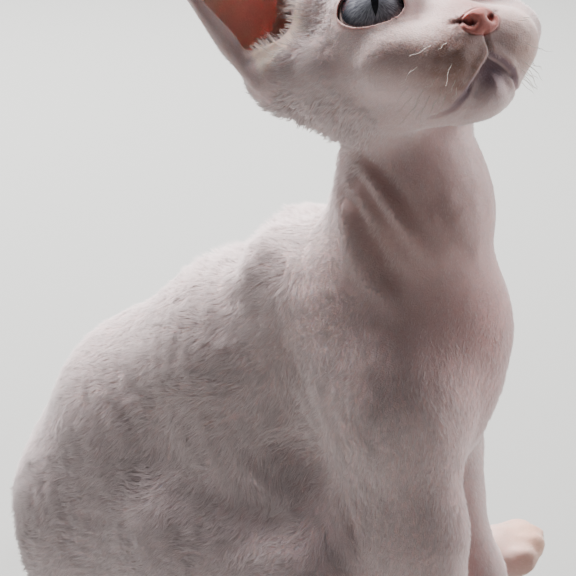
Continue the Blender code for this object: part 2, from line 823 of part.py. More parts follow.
def eye_opening(side):
    """A block with the outline of the open lids, from inside the eyeball outwards."""
    half_length = 8.3
    upper = 6.6
    lower = 5.5
    axes = eye_axes(side)
    centre = on_head((EYE_PLACE[0], side * EYE_PLACE[1], EYE_PLACE[2]))
    bm = bmesh.new()
    steps = 12
    verts = []
    for step in range(2 * steps):
        angle = math.pi * step / steps
        rise = math.sin(angle)
        height = upper * rise**0.8 if rise > 0 else -lower * (-rise)**0.9
        spot = centre + axes[0] * 4.0 + axes[1] * half_length * math.cos(angle) + axes[2] * height
        verts.append(bm.verts.new(spot))
    face = bm.faces.new(verts)
    made = bmesh.ops.extrude_face_region(bm, geom=[face])["geom"]
    ends = [part for part in made if isinstance(part, bmesh.types.BMVert)]
    bmesh.ops.translate(bm, vec=Vector(axes[0] * 16.0), verts=ends)
    bmesh.ops.recalc_face_normals(bm, faces=bm.faces)
    return object_from(bm, "lid_opening")


def ball_at(name, centre, radius, segments=24):
    bm = bmesh.new()
    bmesh.ops.create_uvsphere(
        bm, u_segments=segments, v_segments=segments // 2, radius=radius, matrix=Matrix.Translation(centre)
    )
    return object_from(bm, name)


def build_eye(side, name):
    centre = Vector(on_head((EYE_PLACE[0], side * EYE_PLACE[1], EYE_PLACE[2])))
    return finish(ball_at(name, centre, EYE_RADIUS, 20), EYE_COLOUR, 0.08)


def groove(name, route, radius, sides=6):
    """A closed tube along a route on the head, used to cut a line in it."""
    bm = bmesh.new()
    spots = [Vector(on_head(place)) for place in route]
    rings = []
    for index, spot in enumerate(spots):
        ahead = spots[min(index + 1, len(spots) - 1)] - spots[max(index - 1, 0)]
        turn = ahead.to_track_quat("Z", "Y").to_matrix()
        ends = index in (0, len(spots) - 1)
        reach = radius * (0.35 if ends else 1.0)
        ring = []
        for step in range(sides):
            angle = 2 * math.pi * step / sides
            offset = turn @ Vector((math.cos(angle) * reach, math.sin(angle) * reach, 0.0))
            ring.append(bm.verts.new(spot + offset))
        rings.append(ring)
    for first, last in zip(rings, rings[1:]):
        for step in range(sides):
            following = (step + 1) % sides
            bm.faces.new((first[step], first[following], last[following], last[step]))
    bm.faces.new(rings[0])
    bm.faces.new(rings[-1])
    bmesh.ops.recalc_face_normals(bm, faces=bm.faces)
    return object_from(bm, name)


def surface_route(animal, route, sink):
    """Head places moved onto the surface and then sunk a little below it."""
    points = np.array([on_head(place) for place in route])
    free = np.ones(len(points), bool)
    for _ in range(12):
        settle(animal, points, free, 3.0)
    _, slope = animal.slope(points)
    points -= slope / np.linalg.norm(slope, axis=1)[:, None] * sink
    return [tuple((spot - np.array(NOSE_TIP)) @ HEAD.T) for spot in points]


MOUTH_HALF = (
    (-2.9, 0.0, -9.8), (-4.6, 2.6, -11.6), (-6.8, 5.2, -14.6),
    (-10.0, 8.2, -17.0), (-14.0, 10.6, -18.0), (-19.0, 12.6, -18.0),
)
PHILTRUM = ((-0.8, 0.0, -3.6), (-1.4, 0.0, -6.0), (-2.2, 0.0, -8.2), (-3.0, 0.0, -10.2))
NOSTRIL = ((1.2, 2.4, 0.2), (-0.4, 3.4, 0.1), (-2.0, 5.0, 0.6), (-3.2, 6.4, 1.0))


def build_head(animal):
    """The head with its lids, mouth line and nostrils."""
    def below_neck(points):
        return points[:, 2] < NECK_TOP - 7

    head = skin_over(animal, animal.head + animal.trunk[6:], "head", 1.5, below_neck, rounds=4)
    thin_out(head, HEAD_TRIANGLES)
    cut_plane(head, (0, 0, NECK_TOP), (0, 0, -1), shift=GAP / 2)
    for side in (1, -1):
        centre = Vector(on_head((EYE_PLACE[0], side * EYE_PLACE[1], EYE_PLACE[2])))
        boolean(head, ball_at("socket", centre, EYE_RADIUS + GAP, 20), "DIFFERENCE")
        boolean(head, eye_opening(side), "DIFFERENCE")
        half = [(f, side * s, u) for f, s, u in MOUTH_HALF]
        boolean(head, groove("lips", surface_route(animal, half, -0.1), 0.75), "DIFFERENCE")
        slit = [(f, side * s, u) for f, s, u in NOSTRIL]
        boolean(head, groove("nostril", surface_route(animal, slit, 0.1), 0.8), "DIFFERENCE")
    boolean(head, groove("philtrum", surface_route(animal, PHILTRUM, -0.1), 0.55), "DIFFERENCE")
    return finish(head, COAT_COLOUR, 0.8)


# Left ear on the head: its front margin, outer margin and back, each from the root to the tip
EAR_FRONT = ((-44.5, 34.0, 6.0), (-42.5, 27.0, 15.5), (-39.5, 19.0, 27.0), (-42.0, 24.0, 43.0), (-49.0, 38.5, 59.0))
EAR_OUTER = ((-49.0, 35.2, 4.5), (-52.0, 40.9, 13.5), (-52.5, 46.0, 30.0), (-54.0, 50.5, 45.0), (-54.0, 49.0, 58.0))
EAR_BACK = ((-56.0, 27.0, 3.5), (-60.0, 26.0, 16.0), (-62.0, 30.0, 32.0), (-60.5, 36.0, 46.0), (-55.5, 43.5, 60.0))
EAR_ROUNDING = 0.22
EAR_ROWS = 16
EAR_COLUMNS = 14


def ear_place(share, across):
    """A place on the inside of the left ear's cup. Across runs from the front margin to the outer one."""
    front = curve_point(EAR_FRONT, share)
    outer = curve_point(EAR_OUTER, share)
    back = curve_point(EAR_BACK, share)
    wrap = math.radians(70.0 + 85.0 * (1.0 - share) ** 2.5)
    past = max(0.0, share - 1.0 + EAR_ROUNDING) / EAR_ROUNDING
    closing = math.sqrt(max(0.0, 1.0 - past**2)) * 0.98 + 0.02
    middle = (front + outer) / 2
    turn = wrap * across
    spread = (outer - front) / 2 * closing * math.sin(turn) / math.sin(wrap)
    sunk = (back - middle) * closing * (math.cos(turn) - math.cos(wrap)) / (1.0 - math.cos(wrap))
    return middle + spread + sunk


def ear_sheets():
    """Matching grids of places on the inside and on the back of the left ear."""
    inner = np.array([
        [ear_place(row / EAR_ROWS, 2.0 * column / EAR_COLUMNS - 1.0) for column in range(EAR_COLUMNS + 1)]
        for row in range(EAR_ROWS + 1)
    ])
    normal = np.cross(np.gradient(inner, axis=0), np.gradient(inner, axis=1))
    normal /= np.linalg.norm(normal, axis=2)[:, :, None] + 1e-9
    share = np.linspace(0.0, 1.0, EAR_ROWS + 1)[:, None]
    edge = np.abs(np.linspace(-1.0, 1.0, EAR_COLUMNS + 1))[None, :]
    thick = EAR_THICKNESS * (1.0 - 0.35 * share) * (1.0 - 0.4 * edge**4)
    return inner, inner + normal * thick[:, :, None]


def build_ear(head, side, name):
    """A tall cupped ear that grows out of the bowl in the side of the head."""
    bm = bmesh.new()
    sheets = []
    for sheet in ear_sheets():
        grid = []
        for row in sheet:
            spots = [(f, side * s, u) for f, s, u in row]
            grid.append([bm.verts.new(on_head(spot)) for spot in spots])
        sheets.append(grid)
    for row in range(EAR_ROWS):
        for column in range(EAR_COLUMNS):
            for sheet in sheets:
                a, b = sheet[row][column], sheet[row][column + 1]
                c, d = sheet[row + 1][column + 1], sheet[row + 1][column]
                bm.faces.new((a, b, c))
                bm.faces.new((a, c, d))
    rim = [(row, 0) for row in range(EAR_ROWS)] + [(EAR_ROWS, column) for column in range(EAR_COLUMNS)]
    rim += [(row, EAR_COLUMNS) for row in range(EAR_ROWS, 0, -1)]
    rim += [(0, column) for column in range(EAR_COLUMNS, 0, -1)]
    for index, (row, column) in enumerate(rim):
        row_next, column_next = rim[(index + 1) % len(rim)]
        a, b = sheets[0][row][column], sheets[0][row_next][column_next]
        c, d = sheets[1][row_next][column_next], sheets[1][row][column]
        bm.faces.new((a, b, c))
        bm.faces.new((a, c, d))
    bmesh.ops.recalc_face_normals(bm, faces=bm.faces)
    ear = object_from(bm, name)
    cutter = head.copy()
    cutter.data = head.data.copy()
    bpy.context.scene.collection.objects.link(cutter)
    swell(cutter, GAP)
    boolean(ear, cutter, "DIFFERENCE")
    return finish(ear, EAR_COLOUR, 0.6)


def swell(item, amount):
    """Move every vertex out along its normal."""
    bm = bmesh.new()
    bm.from_mesh(item.data)
    bm.normal_update()
    for vert in bm.verts:
        vert.co += vert.normal * amount
    bm.to_mesh(item.data)
    bm.free()


def centre_on_floor(items):
    """Move the animal so that the middle of its box's base is the origin."""
    corners = [vert.co for item in items for vert in item.data.vertices]
    middle = [
        (min(spot[axis] for spot in corners) + max(spot[axis] for spot in corners)) / 2 for axis in (0, 1)
    ]
    for item in items:
        item.data.transform(Matrix.Translation((-middle[0], -middle[1], 0.0)))


def plain_head(animal):
    """The head without its cuts, which the ears are fitted to."""
    return skin_over(animal, animal.head, "ear_seat", 1.5, rounds=2)


def main():
    for item in list(bpy.data.objects):
        bpy.data.objects.remove(item, do_unlink=True)
    animal = Animal()
    seat = plain_head(animal)
    items = [build_ear(seat, 1, "ear_left"), build_ear(seat, -1, "ear_right")]
    drop(seat)
    items.append(build_head(animal))
    items += [build_eye(1, "eye_left"), build_eye(-1, "eye_right")]
    body = build_body(animal)
    items += [build_torso(body), build_neck(body)]
    items += [build_foreleg(body, 1, "foreleg_left"), build_foreleg(body, -1, "foreleg_right")]
    items += build_right_hind(body)
    items += build_left_hind(body)
    drop(body)
    items += build_tail(animal)
    centre_on_floor(items)


if __name__ == "__main__":
    main()
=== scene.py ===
"""Looks of a sitting Devon Rex kitten at life size.

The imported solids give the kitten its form. One skin is drawn over them, and the lids, nose leather,
lips, neck folds, coat, eyes and whiskers are modelled on that skin. Places are in millimetres in
the kitten's own frame, with +X forward, +Y to its left and +Z up, and every piece is brought to
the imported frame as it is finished. Places on the head are forward, left and up of the nose tip.
"""
import logging
import math
from collections.abc import Callable, Sequence
from dataclasses import dataclass, field
from enum import Enum

import bmesh
import bpy
import numpy as np
from mathutils import Matrix, Vector
from mathutils.bvhtree import BVHTree
from mathutils.kdtree import KDTree

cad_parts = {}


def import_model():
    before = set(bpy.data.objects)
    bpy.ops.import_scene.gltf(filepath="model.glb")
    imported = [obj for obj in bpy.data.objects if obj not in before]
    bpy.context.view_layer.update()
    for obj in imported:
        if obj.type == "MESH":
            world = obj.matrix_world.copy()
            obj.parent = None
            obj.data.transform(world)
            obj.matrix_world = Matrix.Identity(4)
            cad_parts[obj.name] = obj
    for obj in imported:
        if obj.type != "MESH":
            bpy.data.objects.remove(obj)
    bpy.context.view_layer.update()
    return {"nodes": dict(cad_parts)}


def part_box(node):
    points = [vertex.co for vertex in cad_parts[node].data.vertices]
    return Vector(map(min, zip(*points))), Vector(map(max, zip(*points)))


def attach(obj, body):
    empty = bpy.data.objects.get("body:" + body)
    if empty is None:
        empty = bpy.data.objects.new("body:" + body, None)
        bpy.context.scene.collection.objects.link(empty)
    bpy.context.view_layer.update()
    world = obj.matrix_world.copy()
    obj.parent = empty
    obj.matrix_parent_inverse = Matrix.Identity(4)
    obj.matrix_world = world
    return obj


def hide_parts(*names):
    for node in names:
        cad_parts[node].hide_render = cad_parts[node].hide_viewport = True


LOG = logging.getLogger("kitten")
MM = 0.001
Place = tuple[float, float, float]
Pixel = tuple[float, float]
Colour = tuple[float, float, float]


class Area(Enum):
    """The areas of the coat. Each becomes one piece, or several where it has many tufts."""

    FACE = "face"
    SKULL = "skull"
    EAR = "ear"
    NECK = "neck"
    BACK = "back"
    FLANK = "flank"
    CHEST = "chest"
    FORELEG = "foreleg"
    HIND_LEG = "hind_leg"
    TAIL = "tail"


AREAS = list(Area)


def linear(red: float, green: float, blue: float) -> Colour:
    """Turn a colour given in 0 to 255 steps, as a screen shows it, into linear light."""
    shares = []
    for value in (red, green, blue):
        value /= 255.0
        shares.append(value / 12.92 if value <= 0.04045 else ((value + 0.055) / 1.055) ** 2.4)
    return tuple(shares)


def unit(vectors: np.ndarray) -> np.ndarray:
    """Bring vectors to length one."""
    return vectors / np.maximum(np.linalg.norm(vectors, axis=-1, keepdims=True), 1e-9)


def ease(value: np.ndarray, low: float, high: float) -> np.ndarray:
    """Smooth step from 0 at low to 1 at high. Low may be above high."""
    share = np.clip((value - low) / (high - low), 0.0, 1.0)
    return share * share * (3.0 - 2.0 * share)


def hill(points: np.ndarray, centre: Sequence[float], radii: Sequence[float] | float) -> np.ndarray:
    """A soft mask that is one at a centre and falls off over the radii."""
    offset = (points - np.asarray(centre, float)) / np.asarray(radii, float)
    return np.exp(-(offset**2).sum(axis=1))


def ripple(points: np.ndarray, wavelength: float, seed: int, waves: int = 5) -> np.ndarray:
    """Smooth wandering value between about -1 and 1.

    Args:
        points: Places in millimetres.
        wavelength: Mean distance between crests.
        seed: Chooses the pattern.
        waves: How many waves cross each other.

    Returns:
        One value for each place.
    """
    rng = np.random.default_rng(seed)
    total = np.zeros(len(points))
    for _ in range(waves):
        way = unit(rng.normal(size=3)) * 2.0 * math.pi / (wavelength * rng.uniform(0.7, 1.4))
        total += np.sin(points @ way + rng.uniform(0.0, 2.0 * math.pi))
    return total / math.sqrt(waves)


def along_route(points: np.ndarray, route: Sequence[Sequence[float]]) -> tuple[np.ndarray, np.ndarray]:
    """Distance of each point from a route, and the share of the way where it is nearest."""
    spots = np.asarray(route, float)
    nearest = np.full(len(points), 1e9)
    share = np.zeros(len(points))
    for index in range(len(spots) - 1):
        step = spots[index + 1] - spots[index]
        along = np.clip((points - spots[index]) @ step / (step @ step), 0.0, 1.0)
        distance = np.linalg.norm(points - spots[index] - along[:, None] * step, axis=1)
        closer = distance < nearest
        nearest = np.where(closer, distance, nearest)
        share = np.where(closer, (index + along) / (len(spots) - 1), share)
    return nearest, share


def halved(local: np.ndarray) -> np.ndarray:
    """Places on the head, all brought onto its left half."""
    return np.column_stack([local[:, 0], np.abs(local[:, 1]), local[:, 2]])


@dataclass(frozen=True)
class HeadPose:
    """Where the head is and how it is held."""

    nose_tip: Place = (75.0, -20.0, 245.0)
    turn: float = math.radians(-34.0)
    lift: float = math.radians(29.5)
    roll: float = math.radians(5.5)
    eye: Place = (-24.0, 13.9, 9.1)
    eye_axis: Place = (0.80, 0.50, 0.33)
    eye_radius: float = 9.8

    def axes(self) -> np.ndarray:
        """Forward, left and up of the head, as rows."""
        forward = np.array(
            [
                math.cos(self.turn) * math.cos(self.lift),
                math.sin(self.turn) * math.cos(self.lift),
                math.sin(self.lift),
            ]
        )
        level_left = np.array([-math.sin(self.turn), math.cos(self.turn), 0.0])
        level_up = np.cross(forward, level_left)
        left = level_left * math.cos(self.roll) + level_up * math.sin(self.roll)
        return np.stack([forward, left, np.cross(forward, left)])

    def place(self, spots: Sequence[float] | np.ndarray) -> np.ndarray:
        """Bring places on the head into the kitten's frame."""
        return np.asarray(self.nose_tip) + np.asarray(spots, float) @ self.axes()

    def local(self, points: np.ndarray) -> np.ndarray:
        """Bring places in the kitten's frame onto the head."""
        return (points - np.asarray(self.nose_tip)) @ self.axes().T

    def eye_centre(self, side: int) -> np.ndarray:
        """Centre of an eyeball. Side is 1 for the left eye and -1 for the right one."""
        return self.place((self.eye[0], side * self.eye[1], self.eye[2]))

    def eye_frame(self, side: int) -> np.ndarray:
        """Outward, towards the outer corner, and up of an eye, as rows."""
        outward = unit(np.array([self.eye_axis[0], side * self.eye_axis[1], self.eye_axis[2]]) @ self.axes())
        corner = np.array([-11.5, side * 13.0, 2.6]) @ self.axes()
        corner = unit(corner - outward * (corner @ outward))
        return np.stack([outward, corner, np.cross(outward, corner) * side])


@dataclass(frozen=True)
class PhotoCamera:
    """The camera of the photograph, found from the nose and the eye."""

    azimuth: float = math.radians(30.0)
    elevation: float = math.radians(25.0)
    focal_px: float = 1430.0
    frame_px: float = 576.0
    nose_px: Pixel = (482.0, 18.0)
    nose_depth: float = 335.0
    sensor: float = 36.0

    def axes(self) -> np.ndarray:
        """Right, up and back of the camera, as rows."""
        back = np.array(
            [
                math.sin(self.azimuth) * math.cos(self.elevation),
                -math.cos(self.azimuth) * math.cos(self.elevation),
                math.sin(self.elevation),
            ]
        )
        right = np.array([math.cos(self.azimuth), math.sin(self.azimuth), 0.0])
        return np.stack([right, np.cross(back, right), back])

    def place(self, head: HeadPose) -> np.ndarray:
        """Where the camera stands, in the kitten's frame."""
        middle = self.frame_px / 2
        scale = self.nose_depth / self.focal_px
        offset = np.array(
            [(middle - self.nose_px[0]) * scale, (self.nose_px[1] - middle) * scale, self.nose_depth]
        )
        return np.asarray(head.nose_tip) + offset @ self.axes()

    def ray(self, pixel: Pixel) -> np.ndarray:
        """The way from the camera through a pixel of the photograph."""
        middle = self.frame_px / 2
        across = (pixel[0] - middle) / self.focal_px
        down = (pixel[1] - middle) / self.focal_px
        return unit(np.array([across, -down, -1.0]) @ self.axes())

    def build(self, frame: "KittenFrame") -> bpy.types.Object:
        """Make the scene's camera."""
        data = bpy.data.cameras.new("photo_camera")
        data.sensor_width = self.sensor
        data.lens = self.focal_px / self.frame_px * self.sensor
        data.clip_start = 0.01
        camera = bpy.data.objects.new("photo_camera", data)
        bpy.context.scene.collection.objects.link(camera)
        turn = Matrix(self.axes().T.tolist()).to_4x4()
        spot = frame.to_model(self.place(frame.head)[None])[0]
        camera.matrix_world = Matrix.Translation(Vector(spot)) @ turn
        bpy.context.scene.camera = camera
        return camera


class KittenFrame:
    """Ties the kitten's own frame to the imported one."""

    def __init__(self, nodes: dict[str, bpy.types.Object], head: HeadPose) -> None:
        """Find the shift between the frames from the two eyeballs."""
        self.nodes = nodes
        self.head = head
        shifts = []
        for side, name in ((1, "eye_left"), (-1, "eye_right")):
            low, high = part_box(name)
            shifts.append(np.array((low + high) / 2) / MM - head.eye_centre(side))
        self.shift = np.mean(shifts, axis=0)
        self.shift[2] = 0.0

    def to_model(self, points: np.ndarray) -> np.ndarray:
        """From the kitten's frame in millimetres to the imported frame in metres."""
        return (points + self.shift) * MM

    def from_model(self, points: np.ndarray) -> np.ndarray:
        """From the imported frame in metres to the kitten's frame in millimetres."""
        return points / MM - self.shift


# Finishes


@dataclass(frozen=True)
class Palette:
    """Colours of the kitten in linear light. Some stand for painted shade and painted warm light."""

    tip: Colour = linear(240, 223, 222)
    root: Colour = linear(204, 178, 177)
    skin: Colour = linear(214, 186, 184)
    pink: Colour = linear(205, 142, 138)
    thin_fur: Colour = linear(178, 136, 128)
    pad: Colour = linear(160, 123, 112)
    lip: Colour = linear(138, 112, 122)
    leather: Colour = linear(202, 126, 118)
    # Painted shade for the nostril openings.
    nostril: Colour = linear(92, 48, 46)
    ear: Colour = linear(255, 232, 216)
    # Partly the pink of the ear's cup, partly painted glow of light shining through the thin ear.
    ear_front: Colour = linear(255, 146, 124)
    bridge: Colour = linear(164, 108, 100)
    lid: Colour = linear(150, 112, 108)
    # Peach of the paws, also used as painted warm light on the far hind paw and the far whisker pad.
    peach: Colour = linear(198, 150, 122)
    # Painted shade laid along the furrows of the folds.
    furrow_shade: Colour = linear(140, 98, 90)
    # Painted shade: grey for the low near side of the body, which lies in shade.
    low_side_shade: Colour = linear(172, 157, 162)


PALETTE = Palette()


class NodeTree:
    """Short ways to add nodes and links to a shader tree."""

    def __init__(self, tree: bpy.types.NodeTree) -> None:
        """Work on a material's tree or a node group's."""
        self.tree = tree

    def add(self, kind: str, **values: object) -> bpy.types.Node:
        """Add a node and set its properties, or its inputs where the name is theirs."""
        node = self.tree.nodes.new(kind)
        for name, value in values.items():
            if hasattr(node, name):
                setattr(node, name, value)
            else:
                node.inputs[name.replace("_", " ")].default_value = value
        return node

    def link(self, source: bpy.types.NodeSocket, target: bpy.types.NodeSocket) -> None:
        """Join an output to an input."""
        self.tree.links.new(source, target)


def mottle_group() -> bpy.types.NodeTree:
    """The uneven tone that skin and coat share, as a shader node group."""
    group = bpy.data.node_groups.new("coat_mottle", "ShaderNodeTree")
    group.interface.new_socket("Colour", in_out="INPUT", socket_type="NodeSocketColor")
    for name, value in (("Scale", 90.0), ("Amount", 0.2), ("Grain Scale", 1800.0)):
        socket = group.interface.new_socket(name, in_out="INPUT", socket_type="NodeSocketFloat")
        socket.default_value = value
    group.interface.new_socket("Colour", in_out="OUTPUT", socket_type="NodeSocketColor")
    group.interface.new_socket("Height", in_out="OUTPUT", socket_type="NodeSocketFloat")
    nodes = NodeTree(group)
    entry = nodes.add("NodeGroupInput")
    leave = nodes.add("NodeGroupOutput")
    place = nodes.add("ShaderNodeTexCoord")
    broad = nodes.add("ShaderNodeTexNoise", Detail=3.0)
    fine = nodes.add("ShaderNodeTexNoise", Detail=2.0)
    nodes.link(place.outputs["Object"], broad.inputs["Vector"])
    nodes.link(place.outputs["Object"], fine.inputs["Vector"])
    nodes.link(entry.outputs["Scale"], broad.inputs["Scale"])
    nodes.link(entry.outputs["Grain Scale"], fine.inputs["Scale"])
    both = nodes.add("ShaderNodeMath", operation="ADD")
    nodes.link(broad.outputs["Fac"], both.inputs[0])
    nodes.link(fine.outputs["Fac"], both.inputs[1])
    centred = nodes.add("ShaderNodeMath", operation="SUBTRACT")
    nodes.link(both.outputs[0], centred.inputs[0])
    centred.inputs[1].default_value = 1.0
    tone = nodes.add("ShaderNodeMath", operation="MULTIPLY_ADD")
    nodes.link(centred.outputs[0], tone.inputs[0])
    nodes.link(entry.outputs["Amount"], tone.inputs[1])
    tone.inputs[2].default_value = 1.0
    scaled = nodes.add("ShaderNodeVectorMath", operation="SCALE")
    nodes.link(entry.outputs["Colour"], scaled.inputs[0])
    nodes.link(tone.outputs[0], scaled.inputs["Scale"])
    nodes.link(scaled.outputs[0], leave.inputs["Colour"])
    nodes.link(fine.outputs["Fac"], leave.inputs["Height"])
    return group


@dataclass(frozen=True)
class SurfaceFinish:
    """A finish whose colour comes from the piece's own tint, with mottle and bump."""

    name: str
    roughness: float
    amount: float
    scale: float
    grain_scale: float
    bump: float
    bump_distance: float
    sheen: float
    subsurface: float
    subsurface_scale: float = 0.0015

    def build(self, group: bpy.types.NodeTree) -> bpy.types.Material:
        """Make the material around the shared mottle group."""
        material = bpy.data.materials.new(self.name)
        material.use_nodes = True
        nodes = NodeTree(material.node_tree)
        shader = material.node_tree.nodes["Principled BSDF"]
        shader.inputs["Roughness"].default_value = self.roughness
        shader.inputs["Specular IOR Level"].default_value = 0.3
        shader.inputs["Sheen Weight"].default_value = self.sheen
        shader.inputs["Sheen Roughness"].default_value = 0.5
        shader.inputs["Subsurface Weight"].default_value = self.subsurface
        shader.inputs["Subsurface Radius"].default_value = (1.0, 0.42, 0.28)
        shader.inputs["Subsurface Scale"].default_value = self.subsurface_scale
        tint = nodes.add("ShaderNodeAttribute", attribute_name="tint")
        mottle = nodes.add("ShaderNodeGroup", node_tree=group)
        mottle.inputs["Scale"].default_value = self.scale
        mottle.inputs["Amount"].default_value = self.amount
        mottle.inputs["Grain Scale"].default_value = self.grain_scale
        nodes.link(tint.outputs["Color"], mottle.inputs["Colour"])
        nodes.link(mottle.outputs["Colour"], shader.inputs["Base Color"])
        if self.bump > 0.0:
            bump = nodes.add("ShaderNodeBump")
            bump.inputs["Strength"].default_value = self.bump
            bump.inputs["Distance"].default_value = self.bump_distance
            nodes.link(mottle.outputs["Height"], bump.inputs["Height"])
            nodes.link(bump.outputs["Normal"], shader.inputs["Normal"])
        return material


SKIN_FINISH = SurfaceFinish("kitten_skin", 0.62, 0.22, 110.0, 2400.0, 0.35, 0.0003, 0.25, 0.35)
COAT_FINISH = SurfaceFinish("kitten_coat", 0.72, 0.20, 160.0, 900.0, 0.0, 0.0, 0.35, 0.0)
WHISKER_FINISH = SurfaceFinish("whisker_hair", 0.35, 0.05, 200.0, 900.0, 0.0, 0.0, 0.0, 0.0)


@dataclass(frozen=True)
class EyeFinish:
    """Blue-grey iris with pale streaks round an upright slit pupil, under a wet surface."""

    iris: Colour = linear(98, 99, 110)
    streak: Colour = linear(160, 162, 170)
    rim: Colour = linear(34, 36, 44)
    white: Colour = linear(214, 196, 190)
    pupil: Colour = (0.006, 0.006, 0.008)
    iris_radius: float = 8.1
    pupil_half_width: float = 0.95
    pupil_half_height: float = 4.0

    def build(self) -> bpy.types.Material:
        """Make the eye's material on the eye's own place attribute, in millimetres."""
        material = bpy.data.materials.new("kitten_eye")
        material.use_nodes = True
        nodes = NodeTree(material.node_tree)
        shader = material.node_tree.nodes["Principled BSDF"]
        shader.inputs["Roughness"].default_value = 0.05
        shader.inputs["Coat Weight"].default_value = 1.0
        shader.inputs["Coat Roughness"].default_value = 0.02
        spot = nodes.add("ShaderNodeAttribute", attribute_name="iris_place")
        parts = nodes.add("ShaderNodeSeparateXYZ")
        nodes.link(spot.outputs["Vector"], parts.inputs[0])
        flat = nodes.add("ShaderNodeCombineXYZ")
        nodes.link(parts.outputs["X"], flat.inputs["X"])
        nodes.link(parts.outputs["Y"], flat.inputs["Y"])
        radius = nodes.add("ShaderNodeVectorMath", operation="LENGTH")
        nodes.link(flat.outputs[0], radius.inputs[0])
        way = nodes.add("ShaderNodeVectorMath", operation="NORMALIZE")
        nodes.link(flat.outputs[0], way.inputs[0])
        ring = nodes.add("ShaderNodeVectorMath", operation="SCALE")
        ring.inputs["Scale"].default_value = 9.0
        nodes.link(way.outputs[0], ring.inputs[0])
        depth = nodes.add("ShaderNodeCombineXYZ")
        nodes.link(radius.outputs["Value"], depth.inputs["Z"])
        streak_place = nodes.add("ShaderNodeVectorMath", operation="MULTIPLY_ADD")
        nodes.link(depth.outputs[0], streak_place.inputs[0])
        streak_place.inputs[1].default_value = (0.0, 0.0, 0.45)
        nodes.link(ring.outputs[0], streak_place.inputs[2])
        streaks = nodes.add("ShaderNodeTexNoise", Scale=1.6, Detail=4.0, Roughness=0.65)
        nodes.link(streak_place.outputs[0], streaks.inputs["Vector"])
        band = nodes.add("ShaderNodeMapRange")
        nodes.link(streaks.outputs["Fac"], band.inputs["Value"])
        band.inputs["From Min"].default_value = 0.38
        band.inputs["From Max"].default_value = 0.66
        iris = nodes.add("ShaderNodeMix", data_type="RGBA")
        iris.inputs["A"].default_value = (*self.iris, 1.0)
        iris.inputs["B"].default_value = (*self.streak, 1.0)
        nodes.link(band.outputs["Result"], iris.inputs["Factor"])
        rim = self._blend(nodes, iris.outputs["Result"], self.rim)
        self._range(nodes, radius.outputs["Value"], self.iris_radius - 3.2, self.iris_radius, rim)
        white = self._blend(nodes, rim.outputs["Result"], self.white)
        self._range(nodes, radius.outputs["Value"], self.iris_radius, self.iris_radius + 0.35, white)
        slit = self._blend(nodes, white.outputs["Result"], self.pupil)
        self._range(nodes, self._slit_distance(nodes, parts), 1.08, 0.92, slit)
        nodes.link(slit.outputs["Result"], shader.inputs["Base Color"])
        return material

    def _blend(
        self, nodes: NodeTree, below: bpy.types.NodeSocket, colour: Colour
    ) -> bpy.types.Node:
        """A mix from what lies below to one colour."""
        mix = nodes.add("ShaderNodeMix", data_type="RGBA")
        nodes.link(below, mix.inputs["A"])
        mix.inputs["B"].default_value = (*colour, 1.0)
        return mix

    def _range(
        self, nodes: NodeTree, value: bpy.types.NodeSocket, low: float, high: float, mix: bpy.types.Node
    ) -> None:
        """Drive a mix by a value, from 0 at low to 1 at high."""
        ramp = nodes.add("ShaderNodeMapRange", interpolation_type="SMOOTHSTEP")
        nodes.link(value, ramp.inputs["Value"])
        ramp.inputs["From Min"].default_value = low
        ramp.inputs["From Max"].default_value = high
        nodes.link(ramp.outputs["Result"], mix.inputs["Factor"])

    def _slit_distance(self, nodes: NodeTree, parts: bpy.types.Node) -> bpy.types.NodeSocket:
        """One at the pupil's edge, less inside it and more outside."""
        across = nodes.add("ShaderNodeMath", operation="DIVIDE")
        nodes.link(parts.outputs["X"], across.inputs[0])
        across.inputs[1].default_value = self.pupil_half_width
        size = nodes.add("ShaderNodeMath", operation="ABSOLUTE")
        nodes.link(across.outputs[0], size.inputs[0])
        rise = nodes.add("ShaderNodeMath", operation="DIVIDE")
        nodes.link(parts.outputs["Y"], rise.inputs[0])
        rise.inputs[1].default_value = self.pupil_half_height
        square = nodes.add("ShaderNodeMath", operation="MULTIPLY")
        nodes.link(rise.outputs[0], square.inputs[0])
        nodes.link(rise.outputs[0], square.inputs[1])
        total = nodes.add("ShaderNodeMath", operation="ADD")
        nodes.link(size.outputs[0], total.inputs[0])
        nodes.link(square.outputs[0], total.inputs[1])
        return total.outputs[0]


# Shapes


def link_object(name: str, mesh: bpy.types.Mesh) -> bpy.types.Object:
    """Make an object at the origin from a mesh."""
    made = bpy.data.objects.new(name, mesh)
    bpy.context.scene.collection.objects.link(made)
    return made


def mesh_points(mesh: bpy.types.Mesh) -> np.ndarray:
    """Places of a mesh's points."""
    values = np.empty(len(mesh.vertices) * 3)
    mesh.vertices.foreach_get("co", values)
    return values.reshape(-1, 3)


def set_points(mesh: bpy.types.Mesh, points: np.ndarray) -> None:
    """Move a mesh's points."""
    mesh.vertices.foreach_set("co", points.astype(np.float32).ravel())
    mesh.update()


def mesh_normals(mesh: bpy.types.Mesh) -> np.ndarray:
    """Smooth outward direction at each of a mesh's points."""
    values = np.empty(len(mesh.vertices) * 3)
    mesh.vertex_normals.foreach_get("vector", values)
    return values.reshape(-1, 3)


def set_tint(mesh: bpy.types.Mesh, colours: np.ndarray) -> None:
    """Store each point's colour."""
    layer = mesh.color_attributes.new("tint", "FLOAT_COLOR", "POINT")
    values = np.ones((len(colours), 4), np.float32)
    values[:, :3] = colours
    layer.data.foreach_set("color", values.ravel())


